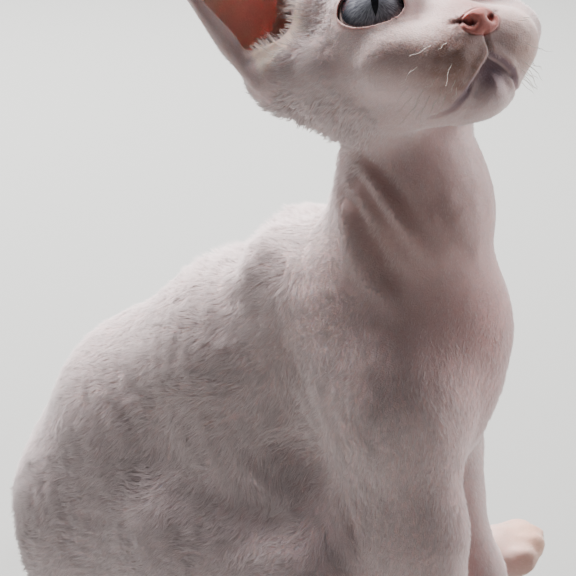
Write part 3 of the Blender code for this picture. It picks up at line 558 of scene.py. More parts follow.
class Web:
    """The points of a mesh and the pairs that its edges join."""

    def __init__(self, mesh: bpy.types.Mesh) -> None:
        """Read a mesh's edges."""
        pairs = np.empty(len(mesh.edges) * 2, np.int64)
        mesh.edges.foreach_get("vertices", pairs)
        self.first, self.last = pairs.reshape(-1, 2).T
        self.count = len(mesh.vertices)
        self.degree = np.bincount(pairs, minlength=self.count).astype(float)

    def average(self, points: np.ndarray) -> np.ndarray:
        """Mean of each point's neighbours."""
        columns = []
        for axis in range(points.shape[1]):
            total = np.bincount(self.first, points[self.last, axis], self.count)
            total += np.bincount(self.last, points[self.first, axis], self.count)
            columns.append(total / np.maximum(self.degree, 1.0))
        return np.stack(columns, axis=1)

    def smooth(self, points: np.ndarray, rounds: int, weight: np.ndarray | float = 1.0) -> np.ndarray:
        """Smooth points without shrinking the form.

        Args:
            points: Places to smooth.
            rounds: Number of rounds, each a step in and a step out.
            weight: How far each point takes part, from 0 to 1.

        Returns:
            The new places.
        """
        share = np.broadcast_to(np.asarray(weight, float), (self.count,))[:, None]
        for _ in range(rounds):
            for factor in (0.5, -0.53):
                points = points + share * factor * (self.average(points) - points)
        return points


def node_copies(frame: KittenFrame, names: Sequence[str], swell: float) -> bmesh.types.BMesh:
    """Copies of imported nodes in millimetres, each swollen a little so that the cuts close."""
    bm = bmesh.new()
    for name in names:
        part = bmesh.new()
        part.from_mesh(frame.nodes[name].data)
        bmesh.ops.remove_doubles(part, verts=part.verts, dist=1e-6)
        part.normal_update()
        mesh = bpy.data.meshes.new("node_copy")
        part.to_mesh(mesh)
        part.free()
        points = frame.from_model(mesh_points(mesh)) + mesh_normals(mesh) * swell
        set_points(mesh, points)
        bm.from_mesh(mesh)
        bpy.data.meshes.remove(mesh)
    return bm


def voxel_skin(bm: bmesh.types.BMesh, size: float) -> bmesh.types.BMesh:
    """One closed even mesh round everything in a bmesh."""
    mesh = bpy.data.meshes.new("voxels")
    bm.to_mesh(mesh)
    bm.free()
    item = link_object("voxels", mesh)
    remesh = item.modifiers.new("Remesh", "REMESH")
    remesh.mode = "VOXEL"
    remesh.voxel_size = size
    graph = bpy.context.evaluated_depsgraph_get()
    made = bpy.data.meshes.new_from_object(item.evaluated_get(graph))
    bpy.data.objects.remove(item, do_unlink=True)
    result = bmesh.new()
    result.from_mesh(made)
    bpy.data.meshes.remove(made)
    return result


# Skin


@dataclass(frozen=True)
class Fold:
    """A ridge or groove of skin along a route of the photograph, with how strongly shade is painted along it."""

    pixels: tuple[Pixel, ...]
    height: float
    width: float
    # How strongly shade is painted along the fold's furrow.
    shade: float = 0.0


@dataclass(frozen=True)
class Face:
    """Lines of the face on its left half, forward, left and up of the nose tip."""

    mouth: tuple[Place, ...] = (
        (-1.5, 0.0, -8.7),
        (-1.6, 2.7, -10.7),
        (-2.8, 5.8, -13.5),
        (-5.4, 7.4, -15.8),
        (-9.0, 9.2, -17.6),
        (-13.9, 11.4, -18.1),
        (-19.0, 13.8, -18.0),
    )
    philtrum: tuple[Place, ...] = ((-0.1, 0.0, -3.6), (-0.9, 0.0, -6.1), (-1.5, 0.0, -8.7))
    nostril: tuple[Place, ...] = ((0.2, 2.8, -0.1), (-0.9, 3.4, 0.1), (-2.3, 4.9, 0.6), (-3.3, 6.7, 1.3))
    nostril_hole: Place = (0.2, 2.9, -0.1)
    leather_centre: Place = (-1.6, 0.0, -0.6)
    leather_radii: Place = (4.6, 5.6, 3.6)
    pocket: tuple[Place, ...] = (
        (-54.0, 46.5, 35.0),
        (-53.5, 43.8, 26.5),
        (-52.0, 41.0, 18.0),
        (-50.5, 39.0, 10.5),
        (-48.0, 37.5, 4.5),
    )
    pocket_radii: tuple[float, ...] = (1.1, 2.1, 2.9, 3.0, 2.8)
    lid_half_length: float = 8.3
    lid_upper: float = 6.6
    lid_lower: float = 5.5
    lid_surface: float = 10.9

    def lid_outline(self, angle: np.ndarray) -> np.ndarray:
        """Places round the open lids, towards the outer corner and up, by angle."""
        rise = np.sin(angle)
        upper = self.lid_upper * np.abs(rise) ** 1.0
        lower = -self.lid_lower * np.abs(rise) ** 1.15
        return np.stack([self.lid_half_length * np.cos(angle), np.where(rise > 0.0, upper, lower)], axis=-1)

    def lid_share(self, across: np.ndarray, up: np.ndarray) -> np.ndarray:
        """One on the lids' edge, less inside the opening and more outside."""
        height = np.where(up > 0.0, self.lid_upper, self.lid_lower)
        return np.hypot(across / self.lid_half_length, np.abs(up / height) ** 0.93)


class Markings:
    """Where the skin is bare, pink, dark or furred, and where shade and warm light are painted on it. Skin and coat
    both take their colours here.
    """

    def __init__(self, head: HeadPose, face: Face) -> None:
        """Keep the head's pose and the lines of the face. The skin adds the furrows, with the shade painted along
        them, as it is folded.
        """
        self.head = head
        self.face = face
        self.furrows: list[tuple[np.ndarray, float, float]] = []

    def leather(self, local: np.ndarray) -> np.ndarray:
        """The nose leather."""
        offset = (local - np.array(self.face.leather_centre)) / np.array(self.face.leather_radii)
        return ease(np.linalg.norm(offset, axis=1), 1.05, 0.85)

    def mouth_distance(self, local: np.ndarray) -> np.ndarray:
        """Distance from the line of the mouth."""
        return along_route(halved(local), self.face.mouth)[0]

    def below_mouth(self, local: np.ndarray) -> np.ndarray:
        """Height of the line of the mouth over each place, where the place is below it."""
        _, across, height = np.array(self.face.mouth).T
        return np.interp(np.abs(local[:, 1]), across, height) - local[:, 2]

    def lid(self, points: np.ndarray) -> np.ndarray:
        """The dark bare edge of the lids."""
        mask = np.zeros(len(points))
        for side in (1, -1):
            offset = (points - self.head.eye_centre(side)) @ self.head.eye_frame(side).T
            share = self.face.lid_share(offset[:, 1], offset[:, 2])
            near = (offset[:, 0] > 2.0) & (np.linalg.norm(offset, axis=1) < 14.0)
            mask = np.maximum(mask, np.where(near, ease(share, 1.22, 1.04), 0.0))
        return mask

    def ear_inside(self, points: np.ndarray, normals: np.ndarray) -> np.ndarray:
        """The bare inside of the ears' cups."""
        local = self.head.local(points)
        away = normals @ self.head.axes().T
        side = np.abs(local[:, 1])
        outward = away[:, 1] * np.sign(local[:, 1])
        facing = away[:, 0] * 0.86 + outward * 0.3 - away[:, 2] * 0.1
        region = ease(local[:, 2] + 0.55 * (side - 20.0), 15.0, 19.0) * ease(local[:, 0], -33.0, -38.0)
        region *= ease(side, 17.0, 20.0)
        pocket = along_route(halved(local), self.face.pocket)[0]
        return region * ease(facing, 0.05, 0.3) * ease(pocket, 3.2, 4.4)

    def colour(self, points: np.ndarray, normals: np.ndarray, tip: np.ndarray | float) -> np.ndarray:
        """Colours at places of the kitten.

        Args:
            points: Places in the kitten's frame.
            normals: Outward directions there.
            tip: 0 on the skin, up to 1 at the ends of the hairs.

        Returns:
            One linear colour for each place.
        """
        local = self.head.local(points)
        share = np.broadcast_to(np.asarray(tip, float), (len(points),))
        furred = np.asarray(PALETTE.root) * (1.0 - share[:, None]) + np.asarray(PALETTE.tip) * share[:, None]
        tint = np.where(share[:, None] > 0.0, furred, np.asarray(PALETTE.skin))
        bare = 1.0 - 0.55 * share
        throat = hill(points, (78.0, -6.0, 150.0), (22.0, 24.0, 46.0))
        thin = 0.62 * throat + 0.45 * hill(points, (40.0, -8.0, 80.0), (30.0, 30.0, 30.0))
        tint = self._over(tint, PALETTE.pink, np.clip(thin, 0.0, 0.8) * bare)
        # Brownish thin-haired skin of the neck, laid on its near side only, so it is partly painted shade there.
        neck = hill(points, (60.0, -26.0, 188.0), (24.0, 16.0, 24.0))
        tint = self._over(tint, PALETTE.thin_fur, 0.5 * neck * bare)
        # Painted shade: the low near side of the body is greyed where it lies in shade.
        low = ease(points[:, 2], 136.0, 92.0) * ease(points[:, 1], -4.0, -26.0) * ease(points[:, 0], 70.0, 44.0)
        tint = self._over(tint, PALETTE.low_side_shade, 0.4 * low * bare)
        under_eye = hill(halved(local), (-17.0, 16.0, -1.0), (10.0, 8.0, 7.0))
        tint = self._over(tint, PALETTE.thin_fur, 0.3 * under_eye * bare)
        # Painted shade darkens the skin and coat along the furrows of the folds.
        for route, width, shade in self.furrows:
            distance, way = along_route(points, route)
            dark = shade * np.exp(-((distance / (1.3 * width)) ** 2)) * np.sin(math.pi * (0.1 + 0.8 * way))
            tint = self._over(tint, PALETTE.furrow_shade, dark * (1.0 - 0.35 * share))
        feet = ease(points[:, 2], 16.0, 6.0) * ease(points[:, 0], 5.0, 20.0)
        # On the far hind paw the peach is painted warm light.
        feet = np.maximum(0.5 * feet, 0.9 * hill(points, (64.0, 83.0, 30.0), (17.0, 15.0, 20.0)))
        tint = self._over(tint, PALETTE.peach, feet)
        muzzle = self._muzzle(local)
        tint = self._over(tint, PALETTE.pad, muzzle * (0.9 - 0.35 * share))
        # Painted warm light: peach on the far whisker pad, where the light reaches it.
        tint = self._over(tint, PALETTE.peach, 0.45 * hill(local, (-6.0, 12.0, -7.0), (9.0, 8.0, 9.0)))
        chin = hill(local, (-2.5, 0.5, -12.5), (6.0, 5.5, 4.6)) * ease(self.below_mouth(local), -0.2, 0.5)
        tint = self._over(tint, PALETTE.lip, np.clip(1.15 * chin, 0.0, 0.9) * (1.0 - 0.3 * share))
        line = ease(self.mouth_distance(local), 1.5, 0.5) * ease(local[:, 0], -15.0, -4.0)
        tint = self._over(tint, PALETTE.lip, 0.9 * line * bare)
        bridge = 0.92 * hill(local, (-5.0, 0.0, 3.5), (9.0, 7.0, 6.0))
        tint = self._over(tint, PALETTE.bridge, bridge)
        tint = self._over(tint, PALETTE.leather, self.leather(local))
        # Painted shade darkens the nostril slits and openings.
        slit = along_route(halved(local), self.face.nostril)[0]
        tint = self._over(tint, PALETTE.nostril, 0.9 * ease(slit, 1.0, 0.3))
        inside = self.ear_inside(points, normals)
        tint = self._over(tint, PALETTE.ear, 0.9 * inside)
        # Redder front of the ear's cup: partly its pink skin, partly painted glow of light through the thin ear.
        front = hill(halved(local), (-49.0, 23.5, 23.0), (8.0, 8.0, 17.0))
        tint = self._over(tint, PALETTE.ear_front, 0.85 * inside * front)
        return self._over(tint, PALETTE.lid, 0.85 * self.lid(points))

    def _muzzle(self, local: np.ndarray) -> np.ndarray:
        """The grey-brown of the whisker pads and the sides of the nose, darker on the right."""
        right = 1.15 * hill(local, (-3.5, -9.5, -8.5), (9.0, 8.5, 8.5))
        right = np.maximum(right, 0.75 * hill(local, (-8.0, -13.0, -3.5), (8.0, 7.0, 8.0)))
        right = np.maximum(right, 0.95 * hill(local, (-1.5, -5.0, -7.5), (6.5, 4.6, 6.5)))
        right = np.maximum(right, 0.85 * hill(local, (-4.0, -9.0, -1.0), (6.5, 6.0, 5.5)))
        right = np.maximum(right, 0.5 * hill(local, (-11.0, -16.5, -0.5), (8.0, 7.0, 7.0)))
        left = 0.3 * hill(local, (-4.0, 9.0, -9.5), (7.5, 5.5, 6.5))
        above = ease(self.below_mouth(local), 0.6, -0.4)
        blotch = 1.0 + 0.22 * ripple(local, 3.2, 17)
        return np.clip(np.maximum(right, left) * above * blotch, 0.0, 1.0)

    def _over(self, below: np.ndarray, colour: Colour, mask: np.ndarray) -> np.ndarray:
        """Lay a colour over others by a mask."""
        return below * (1.0 - mask[:, None]) + np.asarray(colour) * mask[:, None]


@dataclass
class Skin:
    """The one skin of the whole kitten, with its lids, nose, lips and folds."""

    frame: KittenFrame
    camera: PhotoCamera
    markings: Markings
    comb: "Comb"
    body_voxel: float = 1.9
    head_voxel: float = 1.0
    neck_join: float = 188.0
    swell: float = 0.22
    coat_depth: float = 0.35
    coat_share: float = 0.9
    wave_length: float = 8.5
    wave_height: float = 0.7
    folds: tuple[Fold, ...] = (
        Fold(((336, 143), (357, 160), (373, 180), (389, 205), (405, 229), (421, 247), (443, 268)), 1.1, 1.8),
        Fold(((350, 146), (366, 160), (384, 176), (400, 195), (417, 218), (434, 246)), -1.1, 2.4, 0.36),
        Fold(((343, 156), (361, 184), (380, 211), (398, 238), (410, 256)), -1.1, 2.4, 0.36),
        Fold(((341, 188), (353, 208), (364, 228), (376, 248), (390, 270), (402, 284)), -1.7, 2.6, 0.6),
        Fold(((340, 183), (346, 224), (354, 256), (366, 279), (384, 296), (396, 318)), 1.5, 2.6),
        Fold(((430, 196), (442, 216), (454, 239), (470, 258)), -0.6, 2.2, 0.25),
        Fold(((425, 353), (440, 360), (454, 372)), -0.3, 5.0, 0.3),
        Fold(((262, 300), (276, 330), (292, 372), (300, 420)), -1.5, 6.0, 0.25),
        Fold(((255, 462), (285, 498), (315, 540), (326, 572)), 0.9, 3.5),
        Fold(((340, 500), (350, 525), (357, 558)), -1.0, 2.0, 0.3),
        Fold(((352, 380), (372, 430), (380, 480), (378, 530)), 0.8, 6.0),
    )
    body_nodes: tuple[str, ...] = (
        "torso", "neck", "foreleg_left", "foreleg_right", "hind_leg_left", "hind_leg_right",
        "hind_paw_left", "hind_paw_right", "tail_root", "tail_middle", "tail_tip",
    )
    head_nodes: tuple[str, ...] = ("head", "neck", "ear_left", "ear_right")
    mesh: bpy.types.Mesh | None = field(default=None, init=False)

    def build(self, material: bpy.types.Material) -> bpy.types.Object:
        """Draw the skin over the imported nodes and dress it."""
        bm = self._join(self._head(), self._body())
        self._refine(bm)
        self.mesh = bpy.data.meshes.new("skin")
        bm.to_mesh(self.mesh)
        bm.free()
        self._shape()
        self._open_lids()
        self._settle_floor()
        points, normals = mesh_points(self.mesh), mesh_normals(self.mesh)
        set_tint(self.mesh, self.markings.colour(points, normals, 0.0))
        mesh = self.mesh.copy()
        mesh.name = "skin_surface"
        set_points(mesh, self.frame.to_model(points))
        mesh.shade_smooth()
        mesh.materials.append(material)
        item = link_object("skin", mesh)
        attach(item, "root")
        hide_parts(*sorted(set(self.body_nodes + self.head_nodes)))
        LOG.info("skin: %d faces", len(mesh.polygons))
        return item

    def _head(self) -> bmesh.types.BMesh:
        """Head, neck and ears in fine faces, with the eye sockets filled."""
        bm = node_copies(self.frame, self.head_nodes, self.swell)
        for side in (1, -1):
            place = Matrix.Translation(Vector(self.frame.head.eye_centre(side)))
            bmesh.ops.create_icosphere(
                bm, subdivisions=4, radius=self.markings.face.lid_surface, matrix=place
            )
        self._pockets(bm)
        made = voxel_skin(bm, self.head_voxel)
        self._trim(made, self.neck_join + self.body_voxel / 2, keep_above=True)
        return made

    def _pockets(self, bm: bmesh.types.BMesh) -> None:
        """Add the soft double fold at the foot of each ear's outer margin."""
        face = self.markings.face
        route = np.array(face.pocket)
        steps = np.linspace(0.0, len(route) - 1.0, 36)
        radii = np.interp(steps, np.arange(len(route)), face.pocket_radii)
        spots = np.stack([np.interp(steps, np.arange(len(route)), route[:, axis]) for axis in range(3)], axis=1)
        for side in (1.0, -1.0):
            for spot, radius in zip(self.frame.head.place(spots * (1.0, side, 1.0)), radii):
                place = Matrix.Translation(Vector(spot))
                bmesh.ops.create_icosphere(bm, subdivisions=2, radius=radius, matrix=place)

    def _body(self) -> bmesh.types.BMesh:
        """The rest of the kitten in coarser faces."""
        made = voxel_skin(node_copies(self.frame, self.body_nodes, self.swell), self.body_voxel)
        self._trim(made, self.neck_join - self.body_voxel / 2, keep_above=False)
        return made

    def _trim(self, bm: bmesh.types.BMesh, height: float, keep_above: bool) -> None:
        """Cut a mesh off at a height."""
        geometry = list(bm.verts) + list(bm.edges) + list(bm.faces)
        bmesh.ops.bisect_plane(
            bm, geom=geometry, plane_co=(0.0, 0.0, height), plane_no=(0.0, 0.0, 1.0),
            clear_inner=keep_above, clear_outer=not keep_above,
        )

    def _join(self, head: bmesh.types.BMesh, body: bmesh.types.BMesh) -> bmesh.types.BMesh:
        """Bridge the two open necks, so that the skin is one."""
        for part in (head, body):
            mesh = bpy.data.meshes.new("half")
            part.to_mesh(mesh)
            if part is head:
                body.from_mesh(mesh)
            bpy.data.meshes.remove(mesh)
            if part is head:
                head.free()
                break
        edges = [edge for edge in body.edges if edge.is_boundary]
        bmesh.ops.bridge_loops(body, edges=edges)
        bmesh.ops.recalc_face_normals(body, faces=body.faces)
        return body

    def _refine(self, bm: bmesh.types.BMesh) -> None:
        """Split the faces round the eyes, nose and mouth finer, and finest along their lines."""
        for level in range(2):
            fine = self._fine(np.array([vert.co for vert in bm.verts]), level)
            bm.verts.index_update()
            edges = [edge for edge in bm.edges if fine[edge.verts[0].index] and fine[edge.verts[1].index]]
            bmesh.ops.subdivide_edges(bm, edges=edges, cuts=1, use_grid_fill=True, smooth=0.4)

    def _fine(self, points: np.ndarray, level: int) -> np.ndarray:
        """Which points lie where the faces are split at a level."""
        head = self.frame.head
        local = head.local(points)
        reach = np.abs(self.markings.below_mouth(local))
        near = (local[:, 0] > -22.0) & (np.abs(local[:, 1]) < 15.0) & (local[:, 2] < 6.0)
        muzzle = near & (reach < 15.0) & (points[:, 2] > self.neck_join + 20.0)
        lines = near & (self.markings.mouth_distance(local) < 3.2)
        lines |= np.linalg.norm(local - np.array(self.markings.face.leather_centre), axis=1) < 7.0
        rim = np.zeros(len(points), bool)
        for side in (1, -1):
            offset = (points - head.eye_centre(side)) @ head.eye_frame(side).T
            share = self.markings.face.lid_share(offset[:, 1], offset[:, 2])
            rim |= (offset[:, 0] > 3.0) & (share > 0.7) & (share < 1.45)
        return muzzle | rim if level == 0 else lines | rim

    def _shape(self) -> None:
        """Smooth the skin, draw it in by the coat's depth and model its folds and face."""
        web = Web(self.mesh)
        points = web.smooth(mesh_points(self.mesh), 6)
        set_points(self.mesh, points)
        normals = mesh_normals(self.mesh)
        local = self.frame.head.local(points)
        lie = self.comb.lie(points, normals)
        depth = self.coat_depth + self.coat_share * lie["length"] * lie["lift"]
        depth *= 1.0 - 0.7 * hill(local, (-14.0, 0.0, -2.0), (22.0, 20.0, 18.0))
        depth *= 1.0 - 0.9 * self._ear_region(local)
        floor = ease(points[:, 2], 0.3, 2.5)
        points = points - normals * (depth * floor)[:, None]
        set_points(self.mesh, points)
        normals = mesh_normals(self.mesh)
        relief = self._fold_heights(points) + self._face_heights(points) + self._waves(points, lie)
        set_points(self.mesh, points + normals * relief[:, None])

    def _waves(self, points: np.ndarray, lie: dict[str, np.ndarray]) -> np.ndarray:
        """The coat's low waves, which run across the lie of the hair."""
        along = points @ unit(np.array([-0.80, 0.0, -0.60]))
        phase = along * 2.0 * math.pi / self.wave_length + 2.4 * ripple(points, 24.0, 31)
        return self.wave_height * lie["ruffle"] * np.sin(phase)

    def _ear_region(self, local: np.ndarray) -> np.ndarray:
        """One on the free part of the ears."""
        return ease(local[:, 2] + 0.4 * (np.abs(local[:, 1]) - 20.0), 18.0, 26.0)

    def _fold_heights(self, points: np.ndarray) -> np.ndarray:
        """Rise of the skin along the folds that the photograph shows, on both sides."""
        heights = np.zeros(len(points))
        tree = BVHTree.FromPolygons(points.tolist(), [tuple(face.vertices) for face in self.mesh.polygons])
        start = Vector(self.camera.place(self.frame.head))
        for fold in self.folds:
            route = []
            for pixel in fold.pixels:
                hit = tree.ray_cast(start, Vector(self.camera.ray(pixel)))[0]
                if hit is not None:
                    route.append(np.array(hit))
            if len(route) < 2:
                continue
            distance, share = along_route(points, route)
            fade = np.sin(math.pi * np.clip(share * 0.9 + 0.05, 0.0, 1.0)) ** 0.6
            heights += fold.height * fade * np.exp(-((distance / fold.width) ** 2))
            # Keep the route for the shade painted along this furrow.
            if fold.shade > 0.0:
                self.markings.furrows.append((np.array(route), fold.width, fold.shade))
        return heights

    def _face_heights(self, points: np.ndarray) -> np.ndarray:
        """Rise and fall of the nose, lips and pads."""
        face = self.markings.face
        local = self.frame.head.local(points)
        near = local[:, 0] > -30.0
        heights = np.zeros(len(points))
        mirrored = halved(local)
        mouth, share = along_route(mirrored, face.mouth)
        below = self.markings.below_mouth(local)
        front = ease(local[:, 0], -24.0, -10.0)
        fade = ease(share, 1.0, 0.8)
        heights -= 1.0 * fade * (0.4 + 0.6 * front) * np.exp(-((mouth / 0.6) ** 2))
        chin = ease(below, -0.1, 0.9) * ease(below, 9.0, 3.0) * ease(mirrored[:, 1], 8.5, 3.5)
        heights -= 1.4 * front * chin
        lip = ease(below, 2.4, 0.0) * ease(below, -4.5, -1.0)
        heights += 0.6 * front * fade * lip * ease(below, 0.2, -0.4) * ease(mirrored[:, 1], 9.0, 4.5)
        heights += 0.55 * hill(mirrored, (-2.5, 7.0, -9.0), (6.0, 5.0, 4.5))
        heights += 0.45 * fade * hill(local, (-3.2, 0.0, -14.2), (4.0, 4.2, 2.2)) * ease(below, 0.3, 1.2)
        philtrum = along_route(local, face.philtrum)[0]
        heights -= 0.9 * np.exp(-((philtrum / 0.6) ** 2))
        slit, share = along_route(mirrored, face.nostril)
        heights -= (1.4 - 0.8 * share) * np.exp(-((slit / 0.6) ** 2))
        heights -= 1.9 * hill(mirrored, face.nostril_hole, 1.25)
        leather = self.markings.leather(local)
        heights += 0.25 * leather
        heights -= 0.35 * 4.0 * leather * (1.0 - leather)
        return np.where(near, heights, 0.0)

    def _open_lids(self) -> None:
        """Open the lids to their outline and turn their edges in against the eyeballs."""
        bm = bmesh.new()
        bm.from_mesh(self.mesh)
        face = self.markings.face
        for side in (1, -1):
            centre = self.frame.head.eye_centre(side)
            axes = self.frame.head.eye_frame(side)
            inside = []
            for item in bm.faces:
                offset = axes @ (np.array(item.calc_center_median()) - centre)
                if offset[0] > 3.0 and face.lid_share(offset[1], offset[2]) < 1.0:
                    if abs(offset[1]) < 12.0 and abs(offset[2]) < 10.0 and offset[0] < 14.0:
                        inside.append(item)
            bmesh.ops.delete(bm, geom=inside, context="FACES")
            edges = [edge for edge in bm.edges if edge.is_boundary and self._near(edge, centre)]
            self._ring(edges, centre, axes, face.lid_surface - 0.45, 1.0)
            for radius, grow in ((10.25, 0.985), (9.75, 1.0), (9.0, 1.12)):
                made = bmesh.ops.extrude_edge_only(bm, edges=edges)["geom"]
                edges = [part for part in made if isinstance(part, bmesh.types.BMEdge)]
                edges = [edge for edge in edges if edge.is_boundary]
                self._ring(edges, centre, axes, radius, grow)
        bm.to_mesh(self.mesh)
        bm.free()

    def _near(self, edge: bmesh.types.BMEdge, centre: np.ndarray) -> bool:
        """Whether an edge is part of the opening round an eye."""
        return (edge.verts[0].co - Vector(centre)).length < 14.0

    def _ring(
        self, edges: Sequence[bmesh.types.BMEdge], centre: np.ndarray, axes: np.ndarray, radius: float, grow: float
    ) -> None:
        """Set a ring of points on the lids' outline, at a distance from the eye's centre."""
        face = self.markings.face
        angles = np.linspace(0.0, 2.0 * math.pi, 721)
        outline = face.lid_outline(angles) * grow
        for vert in {vert for edge in edges for vert in edge.verts}:
            offset = axes @ (np.array(vert.co) - centre)
            spot = outline[np.argmin(((outline - offset[1:]) ** 2).sum(axis=1))]
            reach = math.sqrt(max(radius**2 - spot[0] ** 2 - spot[1] ** 2, 1.0))
            vert.co = Vector(centre + np.array([reach, spot[0], spot[1]]) @ axes)

    def _settle_floor(self) -> None:
        """Keep the skin on the floor."""
        points = mesh_points(self.mesh)
        points[:, 2] = np.maximum(points[:, 2], 0.02)
        set_points(self.mesh, points)


# Coat


@dataclass(frozen=True)
class Stroke:
    """One pass of the comb: how the hair lies and grows between two places."""

    area: Area
    start: Place
    end: Place
    length: float
    lift: float = 0.12
    ruffle: float = 0.0
    on_head: bool = False
    mirrored: bool = False


@dataclass(frozen=True)
class Comb:
    """The lie of the coat, from strokes over the whole kitten."""

    head: HeadPose
    strokes: tuple[Stroke, ...] = (
        Stroke(Area.FACE, (-5, 0, 2.5), (-26, 0, 17), 1.1, 0.10, on_head=True),
        Stroke(Area.SKULL, (-26, 0, 20), (-60, 0, 28), 2.2, 0.14, 0.1, on_head=True),
        Stroke(Area.SKULL, (-66, 0, 24), (-76, 0, -4), 3.0, 0.2, 0.2, on_head=True),
        Stroke(Area.FACE, (-6, 8, -4), (-20, 20, -8), 1.2, 0.12, on_head=True, mirrored=True),
        Stroke(Area.FACE, (-12, 10, -12), (-28, 16, -18), 1.4, 0.12, on_head=True, mirrored=True),
        Stroke(Area.FACE, (-10, 0, -19), (-32, 0, -26), 1.3, 0.12, on_head=True),
        Stroke(Area.FACE, (-20, 22, 2), (-36, 30, 0), 1.8, 0.12, on_head=True, mirrored=True),
        Stroke(Area.SKULL, (-34, 26, -2), (-54, 36, -8), 3.4, 0.3, 0.5, on_head=True, mirrored=True),
        Stroke(Area.SKULL, (-34, 22, -16), (-56, 26, -20), 3.0, 0.25, 0.3, on_head=True, mirrored=True),
        Stroke(Area.SKULL, (-30, 14, 20), (-36, 22, 14), 1.5, 0.12, on_head=True, mirrored=True),
        Stroke(Area.EAR, (-58, 26, 14), (-60, 42, 58), 1.1, 0.10, on_head=True, mirrored=True),
        Stroke(Area.EAR, (-54, 48, 26), (-54, 50, 50), 1.1, 0.12, on_head=True, mirrored=True),
        Stroke(Area.EAR, (-44, 26, 30), (-50, 38, 58), 1.3, 0.14, on_head=True, mirrored=True),
        Stroke(Area.SKULL, (-39, 21, 18), (-46, 26, 25), 4.2, 0.45, 0.4, on_head=True, mirrored=True),
        Stroke(Area.SKULL, (-42, 28, 10), (-49, 33, 17), 4.2, 0.45, 0.4, on_head=True, mirrored=True),
        Stroke(Area.EAR, (-47, 38, 5), (-52, 43, 22), 1.5, 0.2, on_head=True, mirrored=True),
        Stroke(Area.NECK, (26, 0, 210), (12, 0, 178), 2.6, 0.2, 0.2),
        Stroke(Area.NECK, (50, 20, 205), (34, 26, 160), 2.0, 0.12, mirrored=True),
        Stroke(Area.NECK, (66, 14, 200), (64, 20, 160), 1.6, 0.10, mirrored=True),
        Stroke(Area.NECK, (72, 0, 205), (78, 0, 160), 1.5, 0.10),
        Stroke(Area.CHEST, (78, 0, 155), (68, 0, 105), 2.6, 0.16, 0.15),
        Stroke(Area.CHEST, (66, 20, 155), (64, 22, 108), 2.6, 0.14, 0.1, mirrored=True),
        Stroke(Area.BACK, (14, 0, 180), (-20, 0, 158), 5.4, 0.46, 0.7),
        Stroke(Area.BACK, (-20, 0, 150), (-60, 0, 112), 3.4, 0.22, 0.25),
        Stroke(Area.BACK, (-60, 0, 108), (-92, 0, 62), 3.6, 0.2, 0.2),
        Stroke(Area.BACK, (-88, 0, 60), (-88, 0, 16), 3.2, 0.18, 0.1),
        Stroke(Area.BACK, (14, 24, 168), (-22, 30, 140), 4.4, 0.2, 0.3, mirrored=True),
        Stroke(Area.FLANK, (30, 30, 140), (14, 42, 96), 4.4, 0.2, 0.35, mirrored=True),
        Stroke(Area.FLANK, (6, 42, 130), (-30, 44, 96), 4.6, 0.22, 0.4, mirrored=True),
        Stroke(Area.FLANK, (-24, 40, 112), (-62, 40, 76), 4.4, 0.22, 0.35, mirrored=True),
        Stroke(Area.FLANK, (20, 36, 92), (-6, 30, 52), 3.0, 0.15, 0.1, mirrored=True),
        Stroke(Area.FLANK, (40, 0, 78), (-30, 0, 34), 2.0, 0.12),
        Stroke(Area.FORELEG, (56, 34, 140), (58, 34, 100), 3.6, 0.18, 0.25, mirrored=True),
        Stroke(Area.FORELEG, (62, 30, 96), (66, 26, 50), 2.4, 0.13, 0.05, mirrored=True),
        Stroke(Area.FORELEG, (66, 24, 50), (70, 24, 14), 1.8, 0.12, mirrored=True),
        Stroke(Area.FORELEG, (70, 19, 14), (92, 20, 6), 1.3, 0.12, mirrored=True),
        Stroke(Area.HIND_LEG, (20, -54, 84), (-26, -58, 40), 4.0, 0.2, 0.3),
        Stroke(Area.HIND_LEG, (-30, -50, 84), (-74, -40, 40), 4.2, 0.2, 0.3),
        Stroke(Area.HIND_LEG, (-50, -46, 40), (-70, -40, 8), 3.4, 0.16, 0.1),
        Stroke(Area.HIND_LEG, (44, -46, 80), (2, -50, 30), 3.0, 0.15, 0.1),
        Stroke(Area.HIND_LEG, (-24, -44, 12), (44, -40, 6), 1.6, 0.12),
        Stroke(Area.HIND_LEG, (4, 58, 84), (-36, 54, 44), 4.0, 0.2, 0.3),
        Stroke(Area.HIND_LEG, (-36, 48, 70), (-74, 40, 36), 4.0, 0.2, 0.3),
        Stroke(Area.HIND_LEG, (18, 58, 78), (22, 64, 16), 2.6, 0.14, 0.05),
        Stroke(Area.HIND_LEG, (24, 62, 14), (62, 82, 30), 1.5, 0.12),
        Stroke(Area.TAIL, (-80, 8, 16), (-98, 16, 10), 2.6, 0.2, 0.1),
        Stroke(Area.TAIL, (-104, 22, 8), (-111, 46, 7), 2.4, 0.2, 0.1),
        Stroke(Area.TAIL, (-107, 58, 7), (-80, 75, 6), 2.3, 0.2, 0.1),
        Stroke(Area.TAIL, (-74, 77, 6), (-40, 80, 5), 2.2, 0.2, 0.1),
        Stroke(Area.TAIL, (-38, 80, 5), (-10, 77, 4), 2.2, 0.22, 0.1),
    )

    def passes(self) -> list[tuple[np.ndarray, np.ndarray, Stroke]]:
        """Start and end of every stroke in the kitten's frame, with the mirrored ones."""
        made = []
        for stroke in self.strokes:
            for side in (1.0, -1.0) if stroke.mirrored else (1.0,):
                ends = np.array([stroke.start, stroke.end], float)
                ends[:, 1] *= side
                if stroke.on_head:
                    ends = self.head.place(ends)
                made.append((ends[0], ends[1], stroke))
        return made

